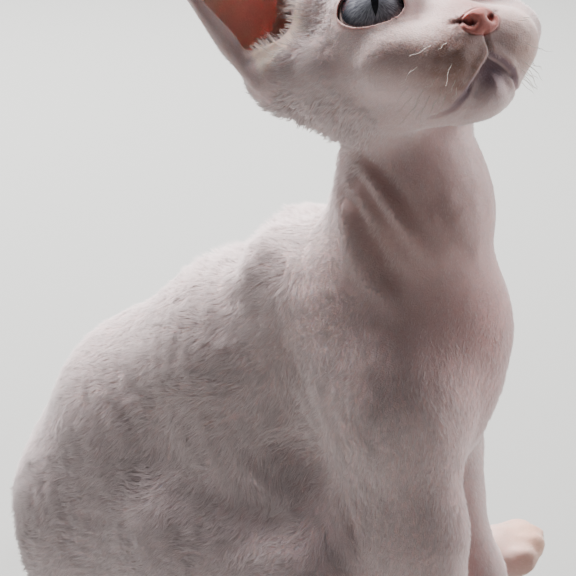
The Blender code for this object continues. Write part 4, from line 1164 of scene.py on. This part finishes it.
    def lie(self, points: np.ndarray, normals: np.ndarray) -> dict[str, np.ndarray]:
        """How the hair grows at places of the skin.

        Args:
            points: Places in the kitten's frame.
            normals: Outward directions there.

        Returns:
            The way that the hair lies, its length, lift and ruffle, and the number of its area.
        """
        way = np.zeros((len(points), 3))
        sizes = np.zeros((len(points), 3))
        total = np.zeros(len(points))
        best = np.zeros(len(points))
        area = np.zeros(len(points), int)
        for start, end, stroke in self.passes():
            step = end - start
            along = np.clip((points - start) @ step / (step @ step), 0.0, 1.0)
            distance = np.linalg.norm(points - start - along[:, None] * step, axis=1)
            weight = 1.0 / (distance + 4.0) ** 4
            way += weight[:, None] * unit(step)
            sizes += weight[:, None] * np.array([stroke.length, stroke.lift, stroke.ruffle])
            total += weight
            area = np.where(weight > best, AREAS.index(stroke.area), area)
            best = np.maximum(best, weight)
        sizes /= total[:, None]
        way = unit(way - normals * (way * normals).sum(axis=1, keepdims=True))
        return {"way": way, "length": sizes[:, 0], "lift": sizes[:, 1], "ruffle": sizes[:, 2], "area": area}


@dataclass(frozen=True)
class Growth:
    """How thickly an area grows and how its tufts are made."""

    density: float
    width: float
    clump: float = 1.9
    gather: float = 0.45
    bent: bool = False


class Unwrap:
    """An unwrap of the skin's own shape: one tile for each area and side that it faces."""

    def places(self, points: np.ndarray, normals: np.ndarray, areas: np.ndarray) -> np.ndarray:
        """UV places of skin points, from 0 to 1."""
        side = np.argmax(np.abs(normals), axis=1)
        forward = normals[np.arange(len(normals)), side] > 0.0
        others = np.array([[1, 2], [0, 2], [0, 1]])[side]
        flat = np.take_along_axis(points, others, axis=1)
        low = np.array([-125.0, -90.0, 0.0])[others]
        high = np.array([100.0, 90.0, 290.0])[others]
        inside = np.clip((flat - low) / (high - low), 0.0, 1.0) * 0.96 + 0.02
        column = areas
        row = side * 2 + forward
        return np.stack([(column + inside[:, 0]) / len(AREAS), (row + inside[:, 1]) / 6.0], axis=1)


class Coat:
    """Short wavy hair over the skin, in thin tapered tufts."""

    PATCH = 0.003
    SEED = 11
    GROWTH = {
        Area.FACE: Growth(7.0, 0.20, 1.1, 0.3),
        Area.SKULL: Growth(2.8, 0.26, 1.5, 0.4, bent=True),
        Area.EAR: Growth(2.4, 0.18, 1.0, 0.2),
        Area.NECK: Growth(5.0, 0.22, 1.5, 0.35),
        Area.BACK: Growth(4.4, 0.24, 2.0, 0.4),
        Area.FLANK: Growth(3.1, 0.27, 2.4, 0.5),
        Area.CHEST: Growth(4.2, 0.24, 1.7, 0.4),
        Area.FORELEG: Growth(2.6, 0.25, 1.6, 0.4),
        Area.HIND_LEG: Growth(2.5, 0.27, 2.2, 0.5),
        Area.TAIL: Growth(2.4, 0.24, 1.4, 0.35),
    }

    def __init__(self, skin: Skin, comb: Comb, markings: Markings, camera: PhotoCamera) -> None:
        """Read the skin's triangles."""
        self.frame = skin.frame
        self.comb = comb
        self.markings = markings
        mesh = skin.mesh
        mesh.calc_loop_triangles()
        corners = np.empty(len(mesh.loop_triangles) * 3, np.int64)
        mesh.loop_triangles.foreach_get("vertices", corners)
        self.corners = corners.reshape(-1, 3)
        self.points = mesh_points(mesh)
        self.normals = mesh_normals(mesh)
        spots = self.points[self.corners]
        cross = np.cross(spots[:, 1] - spots[:, 0], spots[:, 2] - spots[:, 0])
        self.size = np.linalg.norm(cross, axis=1) / 2.0
        self.centre = spots.mean(axis=1)
        self.facing = unit(cross)
        self.view = unit(camera.place(self.frame.head) - self.centre)
        self.rng = np.random.default_rng(self.SEED)

    def _tuft(self, bent: bool) -> tuple[np.ndarray, list[tuple[int, ...]]]:
        """One straight tuft: across, out from the skin, and along from 0 to 1.

        Args:
            bent: Whether the tuft has a ring of points half way, so that it can bend.

        Returns:
            The points, and the faces by their points' numbers.
        """
        bm = bmesh.new()
        bmesh.ops.create_cone(bm, cap_ends=True, segments=3, radius1=0.5, radius2=0.0, depth=1.0)
        bmesh.ops.translate(bm, vec=(0.0, 0.0, 0.5), verts=bm.verts)
        if bent:
            geometry = list(bm.verts) + list(bm.edges) + list(bm.faces)
            bmesh.ops.bisect_plane(bm, geom=geometry, plane_co=(0.0, 0.0, 0.5), plane_no=(0.0, 0.0, 1.0))
        bmesh.ops.remove_doubles(bm, verts=bm.verts, dist=1e-5)
        bmesh.ops.recalc_face_normals(bm, faces=bm.faces)
        for vert in bm.verts:
            if 0.4 < vert.co.z < 0.6:
                vert.co.x *= 1.7
                vert.co.y *= 1.7
        bm.verts.index_update()
        points = np.array([vert.co for vert in bm.verts])
        faces = [tuple(vert.index for vert in face.verts) for face in bm.faces]
        bm.free()
        return points, faces

    def _density(self, lie: dict[str, np.ndarray]) -> np.ndarray:
        """Tufts for each square millimetre at every triangle of the skin."""
        table = np.array([self.GROWTH[area].density for area in AREAS])
        density = table[lie["area"]]
        local = self.frame.head.local(self.centre)
        seen = (self.facing * self.view).sum(axis=1)
        density = density * (0.55 + 0.45 * ease(seen, -0.25, 0.1))
        density = density * (1.0 - self.markings.leather(local))
        density = density * (1.0 - 0.93 * self.markings.ear_inside(self.centre, self.facing))
        density = density * (1.0 - self.markings.lid(self.centre))
        density = density * ease(self.markings.mouth_distance(local), 0.5, 1.1)
        for side in (1, -1):
            offset = np.linalg.norm(self.centre - self.frame.head.eye_centre(side), axis=1)
            density = np.where(offset < 10.4, 0.0, density)
        return density * ease(self.centre[:, 2], 0.3, 1.0)

    def build(self, material: bpy.types.Material) -> list[bpy.types.Object]:
        """Grow every area of the coat."""
        lie = self.comb.lie(self.centre, self.facing)
        density = self._density(lie)
        made = []
        for number, area in enumerate(AREAS):
            weight = np.where(lie["area"] == number, self.size * density, 0.0)
            count = int(weight.sum())
            if count == 0:
                continue
            picked = self.rng.choice(len(weight), count, p=weight / weight.sum())
            made += self._pieces(area, picked, material)
        return made

    def _pieces(self, area: Area, picked: np.ndarray, material: bpy.types.Material) -> list[bpy.types.Object]:
        """Make one area's tufts, in as many pieces as their number needs."""
        self.template, self.template_faces = self._tuft(self.GROWTH[area].bent)
        most = 190000 // (10 if self.GROWTH[area].bent else 4)
        parts = max(1, math.ceil(len(picked) / most))
        order = np.argsort(self.centre[picked, 1], kind="stable")
        made = []
        for index, chosen in enumerate(np.array_split(picked[order], parts)):
            name = f"coat_{area.value}" if parts == 1 else f"coat_{area.value}_{index + 1}"
            made.append(self._piece(name, self.GROWTH[area], chosen, material))
        return made

    def _piece(self, name: str, growth: Growth, picked: np.ndarray, material: bpy.types.Material) -> bpy.types.Object:
        """Make one piece of coat on the picked triangles."""
        count = len(picked)
        share = self.rng.random((count, 2))
        flip = share.sum(axis=1) > 1.0
        share[flip] = 1.0 - share[flip]
        share = np.column_stack([1.0 - share.sum(axis=1), share])[:, :, None]
        roots = (self.points[self.corners[picked]] * share).sum(axis=1)
        normals = unit((self.normals[self.corners[picked]] * share).sum(axis=1))
        lie = self.comb.lie(roots, normals)
        mesh = self._tuft_mesh(name, growth, roots, normals, lie)
        mesh.materials.append(material)
        item = link_object(name, mesh)
        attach(item, "root")
        LOG.info("%s: %d tufts", name, count)
        return item

    def _waved(self, roots: np.ndarray, normals: np.ndarray, lie: dict[str, np.ndarray]) -> np.ndarray:
        """The lie of the hair with the coat's waves in it."""
        turn = 0.42 * ripple(roots, 16.0, 3) + 0.30 * ripple(roots, 6.5, 5)
        turn = turn * (0.35 + 0.65 * ease(lie["length"], 1.6, 4.0))
        turn = turn + self.rng.normal(0.0, 0.16, len(roots))
        side = np.cross(normals, lie["way"])
        return lie["way"] * np.cos(turn)[:, None] + side * np.sin(turn)[:, None]

    def _tuft_mesh(
        self, name: str, growth: Growth, roots: np.ndarray, normals: np.ndarray, lie: dict[str, np.ndarray]
    ) -> bpy.types.Mesh:
        """Bend a copy of the tuft onto every root, gathered into soft locks."""
        count = len(roots)
        way = self._waved(roots, normals, lie)
        length = lie["length"] * self.rng.uniform(0.7, 1.2, count)
        spread = self.rng.normal(0.0, 1.0, count)
        lift = lie["lift"] * (1.0 + 0.35 * spread) + 0.35 * lie["ruffle"] * np.maximum(0.0, ripple(roots, 9.0, 7))
        lift = np.clip(lift, 0.03, 0.9)
        height = length * lift
        tips = roots + way * (length * np.sqrt(1.0 - 0.6 * lift**2))[:, None] + normals * height[:, None]
        tips = self._gathered(growth, roots, tips)
        middle = roots + 0.5 * (tips - roots) + normals * (0.22 * height + 0.05 * length)[:, None]
        step = unit(tips - roots)
        side = unit(np.cross(normals, step))
        out = np.cross(step, side)
        width = growth.width * (0.75 + 0.12 * length) * self.rng.uniform(0.75, 1.25, count)
        along = self.template[:, 2][None, :, None]
        start = (roots - normals * 0.25)[:, None]
        path = start * (1 - along) ** 2 + 2 * (2 * middle - 0.5 * (roots + tips))[:, None] * along * (1 - along)
        path = path + tips[:, None] * along**2
        across = side[:, None] * (self.template[:, 0][None, :] * width[:, None])[:, :, None]
        thick = out[:, None] * (self.template[:, 1][None, :] * width[:, None] * 0.45)[:, :, None]
        verts = (path + across + thick).reshape(-1, 3)
        verts[:, 2] = np.maximum(verts[:, 2], 0.05)
        return self._assemble(name, verts, roots, normals, side, out, lie["area"])

    def _gathered(self, growth: Growth, roots: np.ndarray, tips: np.ndarray) -> np.ndarray:
        """Draw the tips of near tufts together."""
        step = max(1, int(growth.density * growth.clump**2))
        leaders = self.rng.permutation(len(roots))[: max(1, len(roots) // step)]
        tree = KDTree(len(leaders))
        for index, leader in enumerate(leaders):
            tree.insert(roots[leader], index)
        tree.balance()
        nearest = leaders[[tree.find(root)[1] for root in roots]]
        pull = growth.gather * self.rng.uniform(0.3, 1.0, len(roots))
        distance = np.linalg.norm(roots - roots[nearest], axis=1)
        pull = pull * ease(distance, 2.5 * growth.clump, growth.clump)
        return tips + (tips[nearest] - tips) * pull[:, None]

    def _assemble(
        self,
        name: str,
        verts: np.ndarray,
        roots: np.ndarray,
        normals: np.ndarray,
        side: np.ndarray,
        out: np.ndarray,
        areas: np.ndarray,
    ) -> bpy.types.Mesh:
        """Join the bent tufts into one mesh, with its colours, normals and bake map."""
        count = len(roots)
        points = len(self.template)
        sizes = np.array([len(face) for face in self.template_faces])
        corners = np.concatenate([np.array(face) for face in self.template_faces])
        loops = (corners[None, :] + (np.arange(count) * points)[:, None]).ravel()
        starts = np.concatenate([[0], np.cumsum(sizes)[:-1]])
        starts = (starts[None, :] + (np.arange(count) * len(corners))[:, None]).ravel()
        mesh = bpy.data.meshes.new(name)
        mesh.vertices.add(len(verts))
        mesh.vertices.foreach_set("co", self.frame.to_model(verts).astype(np.float32).ravel())
        mesh.loops.add(len(loops))
        mesh.loops.foreach_set("vertex_index", loops.astype(np.int32))
        mesh.polygons.add(len(starts))
        mesh.polygons.foreach_set("loop_start", starts.astype(np.int32))
        mesh.update(calc_edges=True)
        along = self.template[:, 2]
        foot = self.markings.colour(roots, normals, 0.15)
        end = self.markings.colour(roots, normals, 1.0)
        blend = foot[:, None] + (end - foot)[:, None] * along[None, :, None]
        tone = self.rng.normal(1.0, 0.06, count)[:, None, None]
        set_tint(mesh, np.clip(blend * tone, 0.0, 1.0).reshape(-1, 3))
        unwrapped = Unwrap().places(roots, normals, areas)
        patch = np.stack([self.template[corners, 0], self.template[corners, 2] - 0.5], axis=1)
        uv = (unwrapped[:, None] + patch[None] * self.PATCH).reshape(-1, 2)
        layer = mesh.uv_layers.new(name="OFBake")
        layer.data.foreach_set("uv", uv.astype(np.float32).ravel())
        mesh.shade_smooth()
        round_out = unit(self.template[:, :2] + 1e-6)
        own = side[:, None] * round_out[None, :, 0:1] + out[:, None] * round_out[None, :, 1:2]
        soft = unit(0.38 * own + normals[:, None]).reshape(-1, 3)
        mesh.normals_split_custom_set_from_vertices(soft.astype(np.float32))
        return mesh


# Eyes and whiskers


@dataclass
class Eye:
    """An eyeball with its cornea's bulge, iris and slit pupil."""

    frame: KittenFrame
    side: int
    look: float = math.radians(11.0)
    cornea_reach: float = 0.75
    cornea_radius: float = 7.6
    rings: int = 48

    def build(self, material: bpy.types.Material) -> bpy.types.Object:
        """Make the eyeball."""
        head = self.frame.head
        axes = head.eye_frame(self.side)
        gaze = unit(axes[0] + math.tan(self.look) * head.axes()[1])
        corner = unit(axes[1] - gaze * (axes[1] @ gaze))
        axes = np.stack([gaze, corner, np.cross(gaze, corner) * self.side])
        bm = bmesh.new()
        bmesh.ops.create_uvsphere(bm, u_segments=self.rings * 2, v_segments=self.rings, radius=head.eye_radius - 0.1)
        mesh = bpy.data.meshes.new("eye")
        bm.to_mesh(mesh)
        bm.free()
        points = mesh_points(mesh)
        flat = np.hypot(points[:, 0], points[:, 1])
        bulge = np.where(points[:, 2] > 0.0, ease(flat, self.cornea_radius, 0.0), 0.0)
        points[:, 2] += self.cornea_reach * bulge
        iris = points[:, [0, 1, 2]].copy()
        layer = mesh.attributes.new("iris_place", "FLOAT_VECTOR", "POINT")
        layer.data.foreach_set("vector", iris.astype(np.float32).ravel())
        turned = points @ np.stack([axes[1], axes[2] * 1.0, axes[0]])
        set_points(mesh, self.frame.to_model(turned + head.eye_centre(self.side)))
        if self.side < 0:
            mesh.flip_normals()
        mesh.shade_smooth()
        mesh.materials.append(material)
        name = "eye_ball_left" if self.side > 0 else "eye_ball_right"
        item = link_object(name, mesh)
        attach(item, "root")
        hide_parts("eye_left" if self.side > 0 else "eye_right")
        LOG.info("%s", name)
        return item


@dataclass
class Whiskers:
    """Short crinkled whiskers on the pads and over the eyes."""

    frame: KittenFrame
    skin: Skin
    rows: int = 4
    in_row: int = 4
    thickness: float = 0.16
    seed: int = 23

    def build(self, material: bpy.types.Material) -> bpy.types.Object:
        """Make every whisker and join them."""
        rng = np.random.default_rng(self.seed)
        mesh = self.skin.mesh
        tree = BVHTree.FromPolygons(
            mesh_points(mesh).tolist(), [tuple(face.vertices) for face in mesh.polygons]
        )
        bm = bmesh.new()
        for side in (1, -1):
            for row in range(self.rows):
                for step in range(self.in_row):
                    start = (-5.5 - 2.6 * step, side * (9.0 + 1.2 * step), -4.6 - 2.7 * row - 0.4 * step)
                    way = (-0.25 - 0.15 * step, side * (0.9 + 0.05 * step), -0.45 - 0.3 * row)
                    self._whisker(bm, tree, start, way, rng.uniform(3.0, 7.5 if side < 0 else 4.5) + 0.5 * step, rng)
            for step in range(3):
                start = (-22.0 - 2.0 * step, side * (9.0 + 2.5 * step), 22.0)
                self._whisker(bm, tree, start, (0.1, side * 0.4, 0.9), rng.uniform(4.0, 8.0), rng)
        mesh = bpy.data.meshes.new("whiskers")
        bm.to_mesh(mesh)
        bm.free()
        set_tint(mesh, np.tile(np.array(linear(236, 230, 222)), (len(mesh.vertices), 1)))
        set_points(mesh, self.frame.to_model(mesh_points(mesh)))
        mesh.shade_smooth()
        mesh.materials.append(material)
        item = link_object("whiskers", mesh)
        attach(item, "root")
        LOG.info("whiskers: %d faces", len(mesh.polygons))
        return item

    def _whisker(
        self,
        bm: bmesh.types.BMesh,
        tree: BVHTree,
        start: Place,
        way: Place,
        length: float,
        rng: np.random.Generator,
    ) -> None:
        """Add one tapered whisker that wavers as it grows."""
        head = self.frame.head
        root, normal, _, _ = tree.find_nearest(Vector(head.place(start)))
        heading = unit(unit(np.array(way, float) @ head.axes()) + 0.5 * np.array(normal))
        aside = unit(np.cross(heading, np.array(normal)))
        steps = 9
        phase = rng.uniform(0.0, 6.28)
        bend = rng.uniform(-0.25, 0.25)
        crinkle = rng.uniform(0.2, 0.55)
        bmesh_ring = bmesh.ops.create_circle(bm, segments=4, radius=self.thickness / 2)["verts"]
        turn = Vector(heading).to_track_quat("Z", "Y").to_matrix().to_4x4()
        bmesh.ops.transform(bm, matrix=Matrix.Translation(root - Vector(heading) * 0.4) @ turn, verts=bmesh_ring)
        edges = list({edge for vert in bmesh_ring for edge in vert.link_edges})
        centre = np.array(root) - heading * 0.4
        for step in range(1, steps + 1):
            share = step / steps
            wave = crinkle * math.sin(phase + 9.0 * share) * share
            spot = np.array(root) + heading * length * share + aside * (bend * length * share**2 + wave)
            made = bmesh.ops.extrude_edge_only(bm, edges=edges)["geom"]
            ring = [part for part in made if isinstance(part, bmesh.types.BMVert)]
            edges = [part for part in made if isinstance(part, bmesh.types.BMEdge)]
            edges = [edge for edge in edges if all(vert in ring for vert in edge.verts)]
            bmesh.ops.translate(bm, vec=Vector(spot - centre), verts=ring)
            centre = spot
            for vert in ring:
                vert.co = Vector(centre) + (vert.co - Vector(centre)) * (1.0 - 0.75 * (share - (step - 1) / steps))
        bmesh.ops.pointmerge(bm, verts=ring, merge_co=Vector(centre + heading * 0.3))


# Setting


@dataclass(frozen=True)
class Studio:
    """A pale floor and soft lights, the main one high behind the kitten."""

    floor_size: float = 4.0
    floor_colour: Colour = linear(158, 160, 158)

    def build(self, focus: Vector) -> None:
        """Make the floor, the lights and the pale surroundings."""
        bm = bmesh.new()
        bmesh.ops.create_grid(bm, x_segments=2, y_segments=2, size=self.floor_size)
        mesh = bpy.data.meshes.new("floor")
        bm.to_mesh(mesh)
        bm.free()
        material = bpy.data.materials.new("floor_paper")
        material.use_nodes = True
        nodes = NodeTree(material.node_tree)
        shader = material.node_tree.nodes["Principled BSDF"]
        shader.inputs["Base Color"].default_value = (*self.floor_colour, 1.0)
        shader.inputs["Roughness"].default_value = 0.9
        grain = nodes.add("ShaderNodeTexNoise", Scale=600.0)
        bump = nodes.add("ShaderNodeBump")
        bump.inputs["Strength"].default_value = 0.05
        bump.inputs["Distance"].default_value = 0.0005
        place = nodes.add("ShaderNodeTexCoord")
        nodes.link(place.outputs["Object"], grain.inputs["Vector"])
        nodes.link(grain.outputs["Fac"], bump.inputs["Height"])
        nodes.link(bump.outputs["Normal"], shader.inputs["Normal"])
        mesh.materials.append(material)
        link_object("floor", mesh)
        self._light("key_light", focus, (-0.72, 0.48, 1.04), 0.9, 106.0, (1.0, 0.97, 0.96))
        self._light("side_light", focus, (0.76, 0.92, 0.45), 0.7, 19.0, (1.0, 0.97, 0.96))
        self._light("fill_light", focus, (0.7, -1.0, 0.5), 1.4, 0.25, (0.94, 0.97, 1.0))
        world = bpy.data.worlds.new("surroundings")
        world.use_nodes = True
        background = world.node_tree.nodes["Background"]
        background.inputs["Color"].default_value = (0.93, 0.95, 1.0, 1.0)
        background.inputs["Strength"].default_value = 0.055
        bpy.context.scene.world = world

    def _light(
        self, name: str, focus: Vector, offset: Place, size: float, power: float, colour: Colour
    ) -> None:
        """Add one soft square light that faces the kitten."""
        data = bpy.data.lights.new(name, "AREA")
        data.size = size
        data.energy = power
        data.color = colour
        light = bpy.data.objects.new(name, data)
        bpy.context.scene.collection.objects.link(light)
        place = focus + Vector(offset)
        light.location = place
        light.rotation_euler = (place - focus).to_track_quat("Z", "Y").to_euler()


def main() -> None:
    """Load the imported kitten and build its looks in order."""
    logging.basicConfig(level=logging.INFO, format="%(name)s %(message)s")
    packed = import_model()
    head = HeadPose()
    frame = KittenFrame(packed["nodes"], head)
    camera = PhotoCamera()
    camera.build(frame)
    Studio().build(Vector((0.0, 0.0, 0.12)))
    face = Face()
    markings = Markings(head, face)
    group = mottle_group()
    comb = Comb(head)
    skin = Skin(frame, camera, markings, comb)
    skin.build(SKIN_FINISH.build(group))
    Coat(skin, comb, markings, camera).build(COAT_FINISH.build(group))
    eye_material = EyeFinish().build()
    for side in (1, -1):
        Eye(frame, side).build(eye_material)
    Whiskers(frame, skin).build(WHISKER_FINISH.build(group))


if __name__ == "__main__":
    main()
